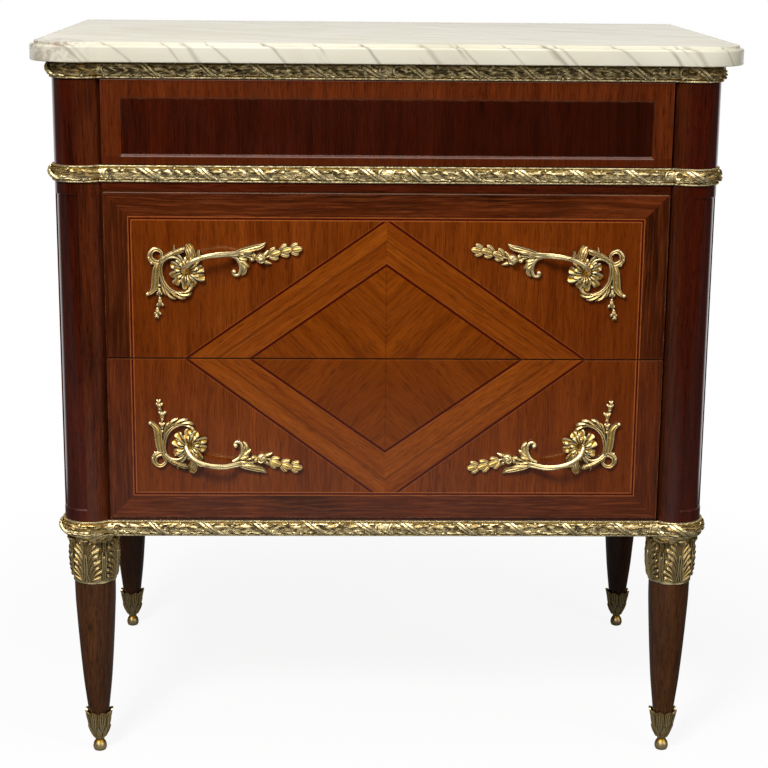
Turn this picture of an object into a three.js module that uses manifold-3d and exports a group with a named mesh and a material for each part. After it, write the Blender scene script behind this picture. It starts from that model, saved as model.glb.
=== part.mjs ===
// A commode chest: mahogany case on four turned legs, marble top, three drawers, gilt mounts.
// Lengths are millimetres. X runs to the right, Y to the back and Z up, with the floor at zero.
import * as THREE from "three";
import { mergeVertices } from "three/addons/utils/BufferGeometryUtils.js";
import Module from "manifold-3d";

const wasm = await Module();
wasm.setup();

// Heights, from the floor up.
const legHeight = 283;
const baseRailHeight = 22.2;
const deepSpace = 193.4;
const midRailHeight = 30;
const friezeSpace = 96.8;
const topRailHeight = 19.2;
const slabThickness = 22;

// The plan of the case. Reaches across are from the centre plane, depths from the drawer faces.
const columnReach = 349;
const columnRadius = 30;
const columnProud = 6;
const sideRecess = 9;
const stileReach = 25.4;
const blockDepth = 36;
const frontLegInset = 3;
const rearLegOutset = 2;
const caseDepth = 476;
const rearPostDepth = 52;
const railRecess = 3;
const railDepth = 24;
const sideThickness = 18;
const backThickness = 12;
const backInset = 2;
const boardThickness = 12;
const topBoardThickness = 18;

// The sunk panel on the outer quarter of each column.
const columnPanelSink = 2;
const columnPanelFoot = 11.4;
const columnPanelHead = 4;
const columnPanelTurns = 9;

// The marble top and its stepped edge.
const slabCornerOverhang = 23.4;
const slabFrontOverhang = 25;
const slabSideOverhang = 32;
const slabBackOverhang = 9;
const slabStep = 5;
const slabStepRise = 3.4;
const slabRound = 1.6;
const slabStepRound = 1.2;

// The gilt mouldings: a half round between two fillets.
const mouldingHeight = 19.2;
const filletProud = 2;
const filletHeight = 2.2;
const beadProud = 6;
const mouldingJoint = 23;

// Drawers.
const reveal = 0.7;
const sideClear = 1;
const runClear = 0.4;
const frontThickness = 20;
const drawerBackClear = 22;
const drawerWall = 12;
const deepBoxHeight = 174;
const friezeBoxHeight = 84;
const drawerBottomThickness = 7;
const drawerBottomLift = 9;
const grooveDepth = 5;
const grooveClear = 0.2;
const drawerBackDrop = 6;
const friezePanelSink = 2;
const friezePanelSide = 21;
const friezePanelTop = 20;
const friezePanelFoot = 9.5;

// Legs, capitals and sabots.
const legTopRadius = 24.3;
const legStart = 26;
const tenonRadius = 10;
const tenonLength = 38;
const capitalHeight = 59.5;
const capitalRadius = 31;
const sabotHeight = 54;
const sabotRadius = 15.2;
const ballHeight = 15;
const ballRadius = 8.3;
const sabotNotch = 11;
const sabotLeaves = 8;

// Pulls. The bar stands off the face, and the relief lies on it.
const pullLength = 181;
const pullStandoff = 20;
const pullInset = 93.8;
const pullRise = 103.6;
const barRadius = 2.9;
const scrollRadius = 2.6;
const curlRadius = 1.9;
const stemRadius = 1.4;
const leafThickness = 3.4;
const rosetteThickness = 5;
const bossRadius = 5.5;
const budRadius = 5.3;
const bellLength = 8;
const bellRadius = 3.3;
const studRadius = 2.5;
const studReach = 7;
const pinRadius = 1.6;
const pinLength = 8;
const nutRadius = 6.5;
const nutThickness = 4.5;

// Fits: seat parts a mount from the wood that carries it, fit parts a pin from its hole.
// Corners nearer than the weld are one corner.
const seat = 0.2;
const fit = 0.3;
const overrun = 5;
const weld = 0.001;

// Facets.
const roundFacets = 36;
const legFacets = 20;
const beadFacets = 6;

// Levels and places that follow from the sizes above.
const baseRailTop = legHeight + baseRailHeight;
const boardLevel = baseRailTop + deepSpace;
const midRailBottom = boardLevel + deepSpace;
const midRailTop = midRailBottom + midRailHeight;
const topRailBottom = midRailTop + friezeSpace;
const caseTop = topRailBottom + topRailHeight;
const slabCornerRadius = columnRadius + slabCornerOverhang;
const slabDepth = columnProud + slabCornerOverhang + caseDepth + slabBackOverhang;
const frontY = columnProud + slabCornerOverhang - slabDepth / 2;
const backY = frontY + caseDepth;
const columnY = frontY + columnRadius - columnProud;
const rearY = backY - rearPostDepth / 2;
const railY = frontY + railRecess;
const openingX = columnReach - stileReach;
const frontLegReach = columnReach - frontLegInset;
const rearLegReach = columnReach + rearLegOutset;
const pullReach = openingX - pullInset;
const faceReach = columnRadius - sideRecess;
const sideX = columnReach + faceReach;
const sideInnerX = sideX - sideThickness;
const blockBackY = columnY + blockDepth;
const postFrontY = backY - rearPostDepth;
const backFaceY = backY - backInset - backThickness;

// Looks.
const look = (color, roughness, metalness) => new THREE.MeshStandardMaterial({ color, roughness, metalness });
const mahogany = () => look(0x5a2312, 0.28, 0);
const satinwood = () => look(0x86420f, 0.25, 0);
const oak = () => look(0x9a7448, 0.6, 0);
const marble = () => look(0xe3e0d0, 0.2, 0);
const gilt = () => look(0xa08742, 0.32, 1);
const steel = () => look(0x6f6a62, 0.45, 1);

// A closed three.js geometry as a solid.
function solidOf(geometry) {
  const bare = new THREE.BufferGeometry();
  bare.setAttribute("position", geometry.getAttribute("position"));
  bare.setIndex(geometry.getIndex());
  const merged = mergeVertices(bare, weld);
  const vertProperties = new Float32Array(merged.getAttribute("position").array);
  const triVerts = new Uint32Array(merged.getIndex().array);
  return new wasm.Manifold(new wasm.Mesh({ numProp: 3, vertProperties, triVerts }));
}

// A solid as a named mesh.
function meshOf(name, solid, material) {
  const { vertProperties, triVerts } = solid.getMesh();
  const geometry = new THREE.BufferGeometry();
  geometry.setAttribute("position", new THREE.BufferAttribute(new Float32Array(vertProperties), 3));
  geometry.setIndex(new THREE.BufferAttribute(new Uint32Array(triVerts), 1));
  geometry.computeVertexNormals();
  const mesh = new THREE.Mesh(geometry, material);
  mesh.name = name;
  return mesh;
}

// A box between two corners.
function box(x0, x1, y0, y1, z0, z1) {
  const geometry = new THREE.BoxGeometry(x1 - x0, y1 - y0, z1 - z0);
  geometry.translate((x0 + x1) / 2, (y0 + y1) / 2, (z0 + z1) / 2);
  return solidOf(geometry);
}

// An outline in plan, raised from one level to another.
function prism(points, z0, z1) {
  const shape = new THREE.Shape(points.map(([x, y]) => new THREE.Vector2(x, y)));
  const geometry = new THREE.ExtrudeGeometry(shape, { depth: z1 - z0, bevelEnabled: false });
  geometry.translate(0, 0, z0);
  return solidOf(geometry);
}

// A turned piece about Z, from radius and height pairs.
function turned(profile, facets) {
  const points = profile.map(([r, z]) => new THREE.Vector2(r, z));
  const geometry = new THREE.LatheGeometry(points, facets);
  geometry.rotateX(Math.PI / 2);
  return solidOf(geometry);
}

// A plain round bar about Z.
function rod(x, y, radius, z0, z1, facets) {
  const geometry = new THREE.CylinderGeometry(radius, radius, z1 - z0, facets);
  geometry.rotateX(Math.PI / 2);
  geometry.translate(x, y, (z0 + z1) / 2);
  return solidOf(geometry);
}

// Points along an arc in plan, with angles from the front, turning to the right.
function arcPoints(x, y, radius, from, to, count) {
  return Array.from({ length: count + 1 }, (_, i) => {
    const a = from + ((to - from) * i) / count;
    return [x + radius * Math.sin(a), y - radius * Math.cos(a)];
  });
}

const chest = new THREE.Group();

// A mesh placed in the chest or in a group of it, mirrored across or up where a piece asks for it.
function place(parent, mesh, x, y, z, flipX = false, flipZ = false) {
  mesh.position.set(x, y, z);
  mesh.scale.set(flipX ? -1 : 1, 1, flipZ ? -1 : 1);
  parent.add(mesh);
  return mesh;
}

const sides = [
  ["left", -1],
  ["right", 1],
];

// The marble top follows the case in plan, with a round lobe over each column.
function slabOutline(inset) {
  const radius = slabCornerRadius - inset;
  const edgeX = sideX + slabSideOverhang - inset;
  const edgeY = frontY - slabFrontOverhang + inset;
  const back = backY + slabBackOverhang - inset;
  const frontTurn = Math.acos((columnY - edgeY) / radius);
  const sideTurn = Math.asin((edgeX - columnReach) / radius);
  const lobe = arcPoints(columnReach, columnY, radius, -frontTurn, Math.PI - sideTurn, roundFacets / 3);
  const right = [...lobe, [edgeX, back]];
  const left = right.map(([x, y]) => [-x, y]).reverse();
  return [...right, ...left];
}

function slabLayer(inset, z0, z1, round) {
  const shape = new THREE.Shape(slabOutline(inset).map(([x, y]) => new THREE.Vector2(x, y)));
  const geometry = new THREE.ExtrudeGeometry(shape, {
    depth: z1 - z0 - 2 * round,
    bevelThickness: round,
    bevelSize: round,
    bevelOffset: -round,
    bevelSegments: 2,
  });
  geometry.translate(0, 0, z0 + round);
  return solidOf(geometry);
}

const slabTop = caseTop + slabThickness;
const slabBody = slabLayer(0, caseTop, slabTop - slabStepRise, slabRound);
const slabField = slabLayer(slabStep, slabTop - 2 * slabStepRise, slabTop, slabStepRound);
chest.add(meshOf("marble_top", slabBody.add(slabField), marble()));

// The hole that takes a leg's tenon, about the column's axis.
function legSocket(reach) {
  const top = legHeight + tenonLength + fit;
  return rod(reach - columnReach, 0, tenonRadius + fit, legHeight - overrun, top, legFacets);
}

// Front corner columns: a round with a block behind it that carries the side and the drawer opening.
// The panel is sunk from the front line of the round to its side.
function columnSolid() {
  const round = rod(0, 0, columnRadius, legHeight, caseTop, roundFacets);
  const block = box(-stileReach, faceReach, 0, blockDepth, legHeight, caseTop);
  const inside = box(-columnRadius - overrun, -stileReach, -columnRadius - overrun, blockDepth + overrun,
    legHeight - overrun, caseTop + overrun);
  const turn = (2 * Math.PI * columnPanelTurns) / roundFacets;
  const outer = arcPoints(0, 0, columnRadius + overrun, 0, turn, columnPanelTurns);
  const inner = arcPoints(0, 0, columnRadius - columnPanelSink, 0, turn, columnPanelTurns).reverse();
  const panel = prism([...outer, ...inner], baseRailTop + columnPanelFoot, midRailBottom - columnPanelHead);
  return round.add(block).subtract(inside).subtract(panel).subtract(legSocket(frontLegReach));
}

// Rear posts: square, flush with the side panel and the back.
function rearPostSolid() {
  const post = box(-stileReach, faceReach, -rearPostDepth / 2, rearPostDepth / 2, legHeight, caseTop);
  return post.subtract(legSocket(rearLegReach));
}

for (const [side, sign] of sides) {
  const flip = sign < 0;
  const column = meshOf("front_column_" + side, columnSolid(), mahogany());
  place(chest, column, sign * columnReach, columnY, 0, flip);
  const post = meshOf("rear_post_" + side, rearPostSolid(), mahogany());
  place(chest, post, sign * columnReach, rearY, 0, flip);
  const panel = box(sideInnerX, sideX, blockBackY, postFrontY, legHeight, caseTop);
  place(chest, meshOf("side_panel_" + side, panel, mahogany()), 0, 0, 0, flip);
}

const backPanel = box(-openingX, openingX, backFaceY, backFaceY + backThickness, legHeight, caseTop);
chest.add(meshOf("back_panel", backPanel, oak()));

// Rails across the front.
function rail(name, z0, z1) {
  chest.add(meshOf(name, box(-openingX, openingX, railY, railY + railDepth, z0, z1), mahogany()));
}
rail("base_rail", legHeight, baseRailTop);
rail("middle_rail", midRailBottom, midRailTop);
rail("top_rail", topRailBottom, caseTop);

// Boards across the case, cut round the column blocks and the rear posts.
function board(name, top, thickness) {
  const half = [
    [openingX, railY + railDepth],
    [openingX, blockBackY],
    [sideInnerX, blockBackY],
    [sideInnerX, postFrontY],
    [openingX, postFrontY],
    [openingX, backFaceY],
  ];
  const outline = [...half, ...half.map(([x, y]) => [-x, y]).reverse()];
  chest.add(meshOf(name, prism(outline, top - thickness, top), oak()));
}
board("bottom_board", baseRailTop, boardThickness);
board("middle_board", boardLevel, boardThickness);
board("dust_board", midRailTop, boardThickness);
board("top_board", caseTop, topBoardThickness);

// The section of a moulding: how far it stands out, and its height, both from its seat.
function mouldingSection(out) {
  const beadHeight = mouldingHeight - 2 * filletHeight;
  const bead = Array.from({ length: beadFacets + 1 }, (_, i) => {
    const a = (Math.PI * i) / beadFacets;
    const z = mouldingHeight / 2 - (beadHeight / 2) * Math.cos(a);
    return [out + filletProud + beadProud * Math.sin(a), z];
  });
  const foot = [[out + seat, 0], [out + filletProud, 0]];
  const head = [[out + filletProud, mouldingHeight], [out + seat, mouldingHeight]];
  return [...foot, ...bead, ...head];
}

// A straight length of moulding along X, standing out towards the front.
function mouldingBar(length) {
  const shape = new THREE.Shape(mouldingSection(0).map(([n, z]) => new THREE.Vector2(n, z)));
  const geometry = new THREE.ExtrudeGeometry(shape, { depth: length, bevelEnabled: false });
  const turn = new THREE.Matrix4().makeBasis(
    new THREE.Vector3(0, -1, 0),
    new THREE.Vector3(0, 0, 1),
    new THREE.Vector3(-1, 0, 0),
  );
  geometry.applyMatrix4(turn);
  return geometry;
}

// The length that wraps a column and runs back along the side, about the column's axis.
function mouldingReturn() {
  const section = mouldingSection(columnRadius);
  const ring = turned([...section, section[0]], roundFacets);
  const inner = columnRadius + seat;
  const seatX = faceReach + seat;
  const meetY = Math.sqrt(inner * inner - seatX * seatX);
  const beadOut = filletProud + beadProud;
  const wide = columnRadius + beadOut;
  const beadX = faceReach + beadOut;
  const endY = Math.sqrt(wide * wide - beadX * beadX);
  const far = wide + overrun;
  const kept = prism(
    [[-mouldingJoint + fit / 2, 0], [-mouldingJoint + fit / 2, -far], [far, -far], [far, endY],
      [seatX, endY], [seatX, meetY], [0, meetY], [0, 0]].reverse(),
    -overrun, mouldingHeight + overrun,
  );
  const geometry = mouldingBar(backY - columnY - meetY);
  geometry.rotateZ(Math.PI / 2);
  geometry.translate(faceReach, backY - columnY, 0);
  return ring.intersect(kept).add(solidOf(geometry));
}

for (const [name, z] of [["lower", legHeight], ["middle", midRailTop - mouldingHeight],
  ["top", caseTop - mouldingHeight]]) {
  const reach = columnReach - mouldingJoint - fit / 2;
  const bar = mouldingBar(2 * reach);
  place(chest, meshOf(name + "_moulding_front", solidOf(bar), gilt()), reach, railY, z);
  for (const [side, sign] of sides) {
    const piece = meshOf(name + "_moulding_" + side, mouldingReturn(), gilt());
    place(chest, piece, sign * columnReach, columnY, z, sign < 0);
  }
}

// Legs: turned with a slight swell, radius and height as shares of the top radius and the leg.
const legProfileShares = [
  [0.337, 0.092],
  [0.444, 0.141],
  [0.531, 0.201],
  [0.687, 0.318],
  [0.774, 0.406],
  [0.856, 0.505],
  [0.947, 0.636],
  [1, 0.753],
  [1, 1],
];

const legProfile = legProfileShares.map(([r, h], i) => [legTopRadius * r, i ? legHeight * h : legStart]);

function legRadiusAt(z) {
  const i = legProfile.findIndex(([, level]) => level > z);
  const [r1, z1] = legProfile[i];
  const [r0, z0] = legProfile[i - 1];
  return r0 + ((r1 - r0) * (z - z0)) / (z1 - z0);
}

function legSolid() {
  const tenon = [[tenonRadius, legHeight], [tenonRadius, legHeight + tenonLength], [0, legHeight + tenonLength]];
  return turned([[0, legStart], ...legProfile, ...tenon], legFacets);
}

// Capital: a bell round the head of the leg, with shares of its radius and of its height.
const capitalProfileShares = [
  [0.83, 0],
  [0.9, 0.07],
  [0.96, 0.3],
  [0.985, 0.55],
  [0.95, 0.8],
  [1, 0.93],
  [1, 1],
];

function capitalSolid() {
  const top = legHeight - seat;
  const outer = capitalProfileShares.map(([r, h]) => [capitalRadius * r, top - capitalHeight * (1 - h)]);
  const inner = legTopRadius + seat;
  const profile = [[inner, top - capitalHeight], ...outer, [inner, top]];
  return turned([...profile, profile[0]], legFacets);
}

// Sabot: a leaf cup on the end of the leg over a ball foot that stands flat on the floor.
const ballProfileShares = [
  [0, 0],
  [0.6, 0],
  [0.92, 0.2],
  [1, 0.45],
  [0.9, 0.72],
  [0.66, 1],
];
const sabotProfileShares = [
  [0.46, 0.08],
  [0.66, 0.24],
  [0.83, 0.48],
  [0.96, 0.8],
  [1, 1],
];

function sabotSolid() {
  const cup = sabotHeight - ballHeight;
  const ball = ballProfileShares.map(([r, h]) => [ballRadius * r, ballHeight * h]);
  const leafy = sabotProfileShares.map(([r, h]) => [sabotRadius * r, ballHeight + cup * h]);
  const held = legProfile.filter(([, z]) => z < sabotHeight).reverse();
  const bore = [[legRadiusAt(sabotHeight), sabotHeight], ...held].map(([r, z]) => [r + seat, z]);
  const floor = [[legProfile[0][0] + seat, legStart - seat], [0, legStart - seat]];
  let solid = turned([...ball, ...leafy, ...bore, ...floor], legFacets);
  const halfNotch = (Math.PI * sabotRadius) / sabotLeaves;
  for (let i = 0; i < sabotLeaves; i++) {
    const shape = new THREE.Shape([
      new THREE.Vector2(0, -sabotNotch),
      new THREE.Vector2(halfNotch, overrun),
      new THREE.Vector2(-halfNotch, overrun),
    ]);
    const notch = new THREE.ExtrudeGeometry(shape, { depth: 2 * sabotRadius, bevelEnabled: false });
    notch.rotateX(Math.PI / 2);
    notch.rotateZ((2 * Math.PI * (i + 0.5)) / sabotLeaves);
    notch.translate(0, 0, sabotHeight);
    solid = solid.subtract(solidOf(notch));
  }
  return solid;
}

for (const [side, sign] of sides) {
  for (const [end, reach, y] of [["front", frontLegReach, columnY], ["rear", rearLegReach, rearY]]) {
    const where = end + "_" + side;
    const leg = new THREE.Group();
    leg.position.set(sign * reach, y, 0);
    leg.add(meshOf("leg_" + where, legSolid(), mahogany()));
    leg.add(meshOf("capital_" + where, capitalSolid(), gilt()));
    leg.add(meshOf("sabot_" + where, sabotSolid(), gilt()));
    chest.add(leg);
  }
}

// The pull lies in a plane: across and up are shares of its length, out is a share of its standoff.
const onPull = ([x, z, out = 0], lift = 0) =>
  new THREE.Vector3(pullLength * x, -seat - lift - pullStandoff * out, pullLength * z);

function pullTube(pathShares, radius, sidesCount, steps) {
  const path = new THREE.CatmullRomCurve3(pathShares.map((p) => onPull(p, radius)));
  const shape = new THREE.Shape(
    Array.from({ length: sidesCount }, (_, i) => {
      const a = (2 * Math.PI * (i + 0.5)) / sidesCount;
      return new THREE.Vector2(radius * Math.cos(a), radius * Math.sin(a));
    }),
  );
  return solidOf(new THREE.ExtrudeGeometry(shape, { steps, extrudePath: path, bevelEnabled: false }));
}

// A pointed leaf from its root to its tip, flat on the face.
const leafEdgeShares = [
  [0, 0.3],
  [0.35, 0.5],
  [0.7, 0.36],
];
function pullLeaf([x0, z0, x1, z1, width], thickness = leafThickness) {
  const along = new THREE.Vector2(x1 - x0, z1 - z0).multiplyScalar(pullLength);
  const across = new THREE.Vector2(-along.y, along.x).setLength(pullLength * width);
  const root = new THREE.Vector2(x0, z0).multiplyScalar(pullLength);
  const point = (s, w) => root.clone().addScaledVector(along, s).addScaledVector(across, w);
  const shape = new THREE.Shape([
    ...leafEdgeShares.map(([s, w]) => point(s, -w)),
    point(1, 0),
    ...leafEdgeShares.map(([s, w]) => point(s, w)).reverse(),
  ]);
  const geometry = new THREE.ExtrudeGeometry(shape, { depth: thickness, bevelEnabled: false });
  geometry.rotateX(Math.PI / 2);
  geometry.translate(0, -seat, 0);
  return solidOf(geometry);
}

function pullBall([x, z], radius) {
  const geometry = new THREE.SphereGeometry(radius, 6, 4);
  const centre = onPull([x, z], radius / 2);
  geometry.translate(centre.x, centre.y, centre.z);
  return solidOf(geometry).subtract(box(-pullLength, pullLength, -seat, pullLength, -pullLength, pullLength));
}

const barPathShares = [
  [0, 0, 0.1],
  [0.012, 0.05, 0.72],
  [0.066, 0.094, 1],
  [0.149, 0.116, 1],
  [0.232, 0.122, 0.86],
  [0.309, 0.122, 0.42],
  [0.365, 0.124, 0],
];
const scrollPathShares = [
  [0, 0.118],
  [-0.06, 0.126],
  [-0.11, 0.1],
  [-0.155, 0.067],
  [-0.2, 0.046],
  [-0.228, 0.066],
  [-0.23, 0.108],
  [-0.203, 0.132],
  [-0.175, 0.12],
  [-0.176, 0.1],
];
const hookPathShares = [
  [-0.15, 0.068],
  [-0.167, -0.01],
  [-0.155, -0.078],
  [-0.122, -0.132],
  [-0.066, -0.16],
  [-0.017, -0.149],
  [0.017, -0.11],
];
const curlPathShares = [
  [0.345, 0.11],
  [0.352, 0.055],
  [0.338, 0.006],
  [0.31, -0.022],
  [0.288, -0.006],
];
const tailPathShares = [
  [0.345, 0.118],
  [0.4, 0.09],
  [0.453, 0.078],
  [0.54, 0.098],
  [0.624, 0.122],
  [0.7, 0.14],
];
const pendantPathShares = [
  [-0.166, -0.04],
  [-0.172, -0.166],
  [-0.182, -0.243],
  [-0.193, -0.3],
];
const leafShares = [
  [0.31, 0.11, 0.492, 0.174, 0.05],
  [0.497, 0.078, 0.586, 0.122, 0.055],
  [0.569, 0.1, 0.663, 0.142, 0.055],
  [0.646, 0.122, 0.754, 0.152, 0.05],
  [0.464, 0.066, 0.525, 0.044, 0.028],
  [0.343, 0.055, 0.387, 0.022, 0.028],
  [-0.17, 0.05, -0.243, -0.16, 0.05],
  [-0.1, -0.145, -0.033, -0.185, 0.034],
  [0.017, 0.077, 0.033, 0.171, 0.055],
  [0.055, 0.077, 0.088, 0.135, 0.044],
];
const bellShares = [
  [-0.172, -0.166],
  [-0.179, -0.226],
  [-0.191, -0.291],
];
const rosetteRadiusShare = 0.113;
const rosetteWaistShare = 0.088;
const rosettePetals = 9;

function rosetteSolid() {
  const shape = new THREE.Shape(
    Array.from({ length: 2 * rosettePetals }, (_, i) => {
      const radius = pullLength * (i % 2 ? rosetteRadiusShare : rosetteWaistShare);
      const a = (Math.PI * i) / rosettePetals;
      return new THREE.Vector2(radius * Math.cos(a), radius * Math.sin(a));
    }),
  );
  const geometry = new THREE.ExtrudeGeometry(shape, { depth: rosetteThickness, bevelEnabled: false });
  geometry.rotateX(Math.PI / 2);
  geometry.translate(0, -seat, 0);
  return solidOf(geometry);
}

// The stud and the pin run back from the face plane, about Y.
function backPin([x, z], radius, length, facets) {
  const geometry = new THREE.CylinderGeometry(radius, radius, length + overrun / 2, facets);
  geometry.translate(pullLength * x, length / 2 - overrun / 4, pullLength * z);
  return solidOf(geometry);
}
const pinShares = [0.345, 0.118];
const studShares = [0, 0];

function pullSolid() {
  const parts = [
    pullTube(barPathShares, barRadius, 6, 10),
    pullTube(scrollPathShares, scrollRadius, 5, 14),
    pullTube(hookPathShares, scrollRadius, 5, 9),
    pullTube(curlPathShares, curlRadius, 4, 6),
    pullTube(tailPathShares, curlRadius, 4, 5),
    pullTube(pendantPathShares, stemRadius, 4, 3),
    pullBall([0, 0], bossRadius),
    pullBall(tailPathShares[2], budRadius),
    pullBall(curlPathShares[4], 2 * curlRadius),
    ...leafShares.map((leaf) => pullLeaf(leaf)),
    ...bellShares.map(([x, z]) => {
      const geometry = new THREE.CylinderGeometry(stemRadius, bellRadius, bellLength, 5);
      geometry.rotateX(Math.PI / 2);
      const centre = onPull([x, z], bellRadius);
      geometry.translate(centre.x, centre.y, centre.z);
      return solidOf(geometry);
    }),
    backPin(studShares, studRadius, frontThickness + studReach, legFacets / 2),
    backPin(pinShares, pinRadius, pinLength, legFacets / 2),
  ];
  return parts.reduce((whole, piece) => whole.add(piece), rosetteSolid());
}

// Drawers: front, two grooved sides, back and bottom, running on the board below.
function drawer(name, level, space, boxHeight, frontSolid) {
  const group = new THREE.Group();
  const faceX = openingX - sideClear;
  const innerX = faceX - drawerWall;
  const foot = level + runClear;
  const wallY = frontY + frontThickness;
  const endY = backFaceY - drawerBackClear;
  const bottomZ = foot + drawerBottomLift;
  const bottomTop = bottomZ + drawerBottomThickness;
  const bottomX = innerX + grooveDepth;
  const groove = box(innerX - overrun, bottomX + grooveClear, wallY - overrun, endY + overrun,
    bottomZ - grooveClear, bottomTop + grooveClear);
  const wall = box(innerX, faceX, wallY, endY, foot, foot + boxHeight).subtract(groove);
  for (const [side, sign] of sides) {
    place(group, meshOf(name + "_drawer_side_" + side, wall, oak()), 0, 0, 0, sign < 0);
  }
  const back = box(-innerX, innerX, endY - drawerWall, endY, bottomTop, foot + boxHeight - drawerBackDrop);
  group.add(meshOf(name + "_drawer_back", back, oak()));
  const bottom = box(-bottomX, bottomX, wallY, endY, bottomZ, bottomTop);
  group.add(meshOf(name + "_drawer_bottom", bottom, oak()));
  const face = box(-faceX, faceX, frontY, wallY, level + reveal, level + space - reveal);
  group.add(frontSolid(face, name + "_drawer_front", group));
  chest.add(group);
}

function friezeFront(face, name) {
  const panelX = openingX - sideClear - friezePanelSide;
  const panel = box(-panelX, panelX, frontY - overrun, frontY + friezePanelSink,
    midRailTop + friezePanelFoot, topRailBottom - friezePanelTop);
  return meshOf(name, face.subtract(panel), mahogany());
}

// A deep drawer's front carries two mirrored pulls, each with a stud, a nut behind it and a pin.
function deepFront(up) {
  return (face, name, group) => {
    const z = boardLevel + up * pullRise;
    let solid = face;
    for (const [side, sign] of sides) {
      for (const [[across, rise], radius, depth] of [
        [studShares, studRadius, frontThickness + overrun],
        [pinShares, pinRadius, pinLength + fit],
      ]) {
        const hole = new THREE.CylinderGeometry(radius + fit, radius + fit, depth + overrun, legFacets / 2);
        const x = sign * (pullReach - pullLength * across);
        hole.translate(x, frontY + (depth - overrun) / 2, z + up * pullLength * rise);
        solid = solid.subtract(solidOf(hole));
      }
      const level = up > 0 ? "upper" : "lower";
      const pull = meshOf(level + "_pull_" + side, pullSolid(), gilt());
      place(group, pull, sign * pullReach, frontY, z, sign > 0, up < 0);
      const nut = new THREE.CylinderGeometry(nutRadius, nutRadius, nutThickness, 6);
      const bore = new THREE.CylinderGeometry(studRadius + fit, studRadius + fit, nutThickness + overrun,
        legFacets / 2);
      const ring = meshOf(level + "_pull_nut_" + side, solidOf(nut).subtract(solidOf(bore)), steel());
      place(group, ring, sign * pullReach, frontY + frontThickness + seat + nutThickness / 2, z);
    }
    return meshOf(name, solid, satinwood());
  };
}

drawer("frieze", midRailTop, friezeSpace, friezeBoxHeight, friezeFront);
drawer("upper", boardLevel, deepSpace, deepBoxHeight, deepFront(1));
drawer("lower", baseRailTop, deepSpace, deepBoxHeight, deepFront(-1));

export default chest;
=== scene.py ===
"""Looks for a commode chest: marble, polished veneers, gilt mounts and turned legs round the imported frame."""

import math

import bmesh
import bpy
import numpy as np
from mathutils import Matrix, Vector


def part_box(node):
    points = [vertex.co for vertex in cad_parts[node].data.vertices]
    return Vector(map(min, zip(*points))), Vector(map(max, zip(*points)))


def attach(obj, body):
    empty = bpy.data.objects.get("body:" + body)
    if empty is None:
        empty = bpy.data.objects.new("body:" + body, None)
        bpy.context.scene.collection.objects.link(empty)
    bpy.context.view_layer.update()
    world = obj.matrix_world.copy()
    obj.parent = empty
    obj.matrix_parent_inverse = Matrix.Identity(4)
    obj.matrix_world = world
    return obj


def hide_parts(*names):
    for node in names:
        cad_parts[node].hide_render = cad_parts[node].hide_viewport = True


bl_info = {
    "name": "Commode chest",
    "version": (1, 0, 0),
    "blender": (4, 5, 0),
    "location": "3D View > Sidebar > Commode",
    "description": "Builds the marble, veneers, gilt mounts and studio of a commode chest",
    "category": "Add Mesh",
}

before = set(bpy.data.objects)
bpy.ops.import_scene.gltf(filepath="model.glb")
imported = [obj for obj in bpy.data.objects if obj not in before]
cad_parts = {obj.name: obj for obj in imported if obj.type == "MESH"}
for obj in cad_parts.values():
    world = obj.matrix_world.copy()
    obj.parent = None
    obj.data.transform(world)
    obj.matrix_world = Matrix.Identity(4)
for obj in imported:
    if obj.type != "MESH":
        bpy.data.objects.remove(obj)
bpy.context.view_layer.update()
mm = 0.001
sides = (("left", -1), ("right", 1))
runs = ("lower", "middle", "top")
deep_drawers = ("upper", "lower")

# Places read from the frame.
slab_low, slab_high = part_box("marble_top")
column_low, column_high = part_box("front_column_right")
front_low, front_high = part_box("upper_drawer_front")
lower_low, lower_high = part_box("lower_drawer_front")
frieze_low, frieze_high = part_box("frieze_drawer_front")
base_low, base_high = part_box("base_rail")
rail_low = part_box("middle_rail")[0]
face_y = front_low.y
column_radius = 30 * mm
column_x = column_high.x - column_radius
column_y = column_low.y + column_radius
side_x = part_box("side_panel_right")[1].x
opening_x = column_low.x
back_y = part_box("rear_post_right")[1].y
gap_z = (front_low.z + lower_high.z) / 2

# Where the front and side mouldings meet, from a column's axis, and the seam between them.
meet_x = 23 * mm
seam = 0.15 * mm


# Helpers for meshes.


def smooth_path(points, count):
    """Points along a smooth curve through a few given ones."""
    p = np.array(points, float)
    p = np.vstack([2 * p[0] - p[1], p, 2 * p[-1] - p[-2]])
    t = np.linspace(0, len(p) - 3, count)
    i = np.minimum(t.astype(int), len(p) - 4)
    f = (t - i)[:, None]
    a, b, c, d = p[i], p[i + 1], p[i + 2], p[i + 3]
    return 0.5 * (2 * b + (c - a) * f + (2 * a - 5 * b + 4 * c - d) * f**2 + (3 * b - a - 3 * c + d) * f**3)


def table(t, pairs):
    """Values read between the rows of a small table of shares and values."""
    rows = np.array(pairs, float)
    return np.interp(t, rows[:, 0], rows[:, 1])


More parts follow.
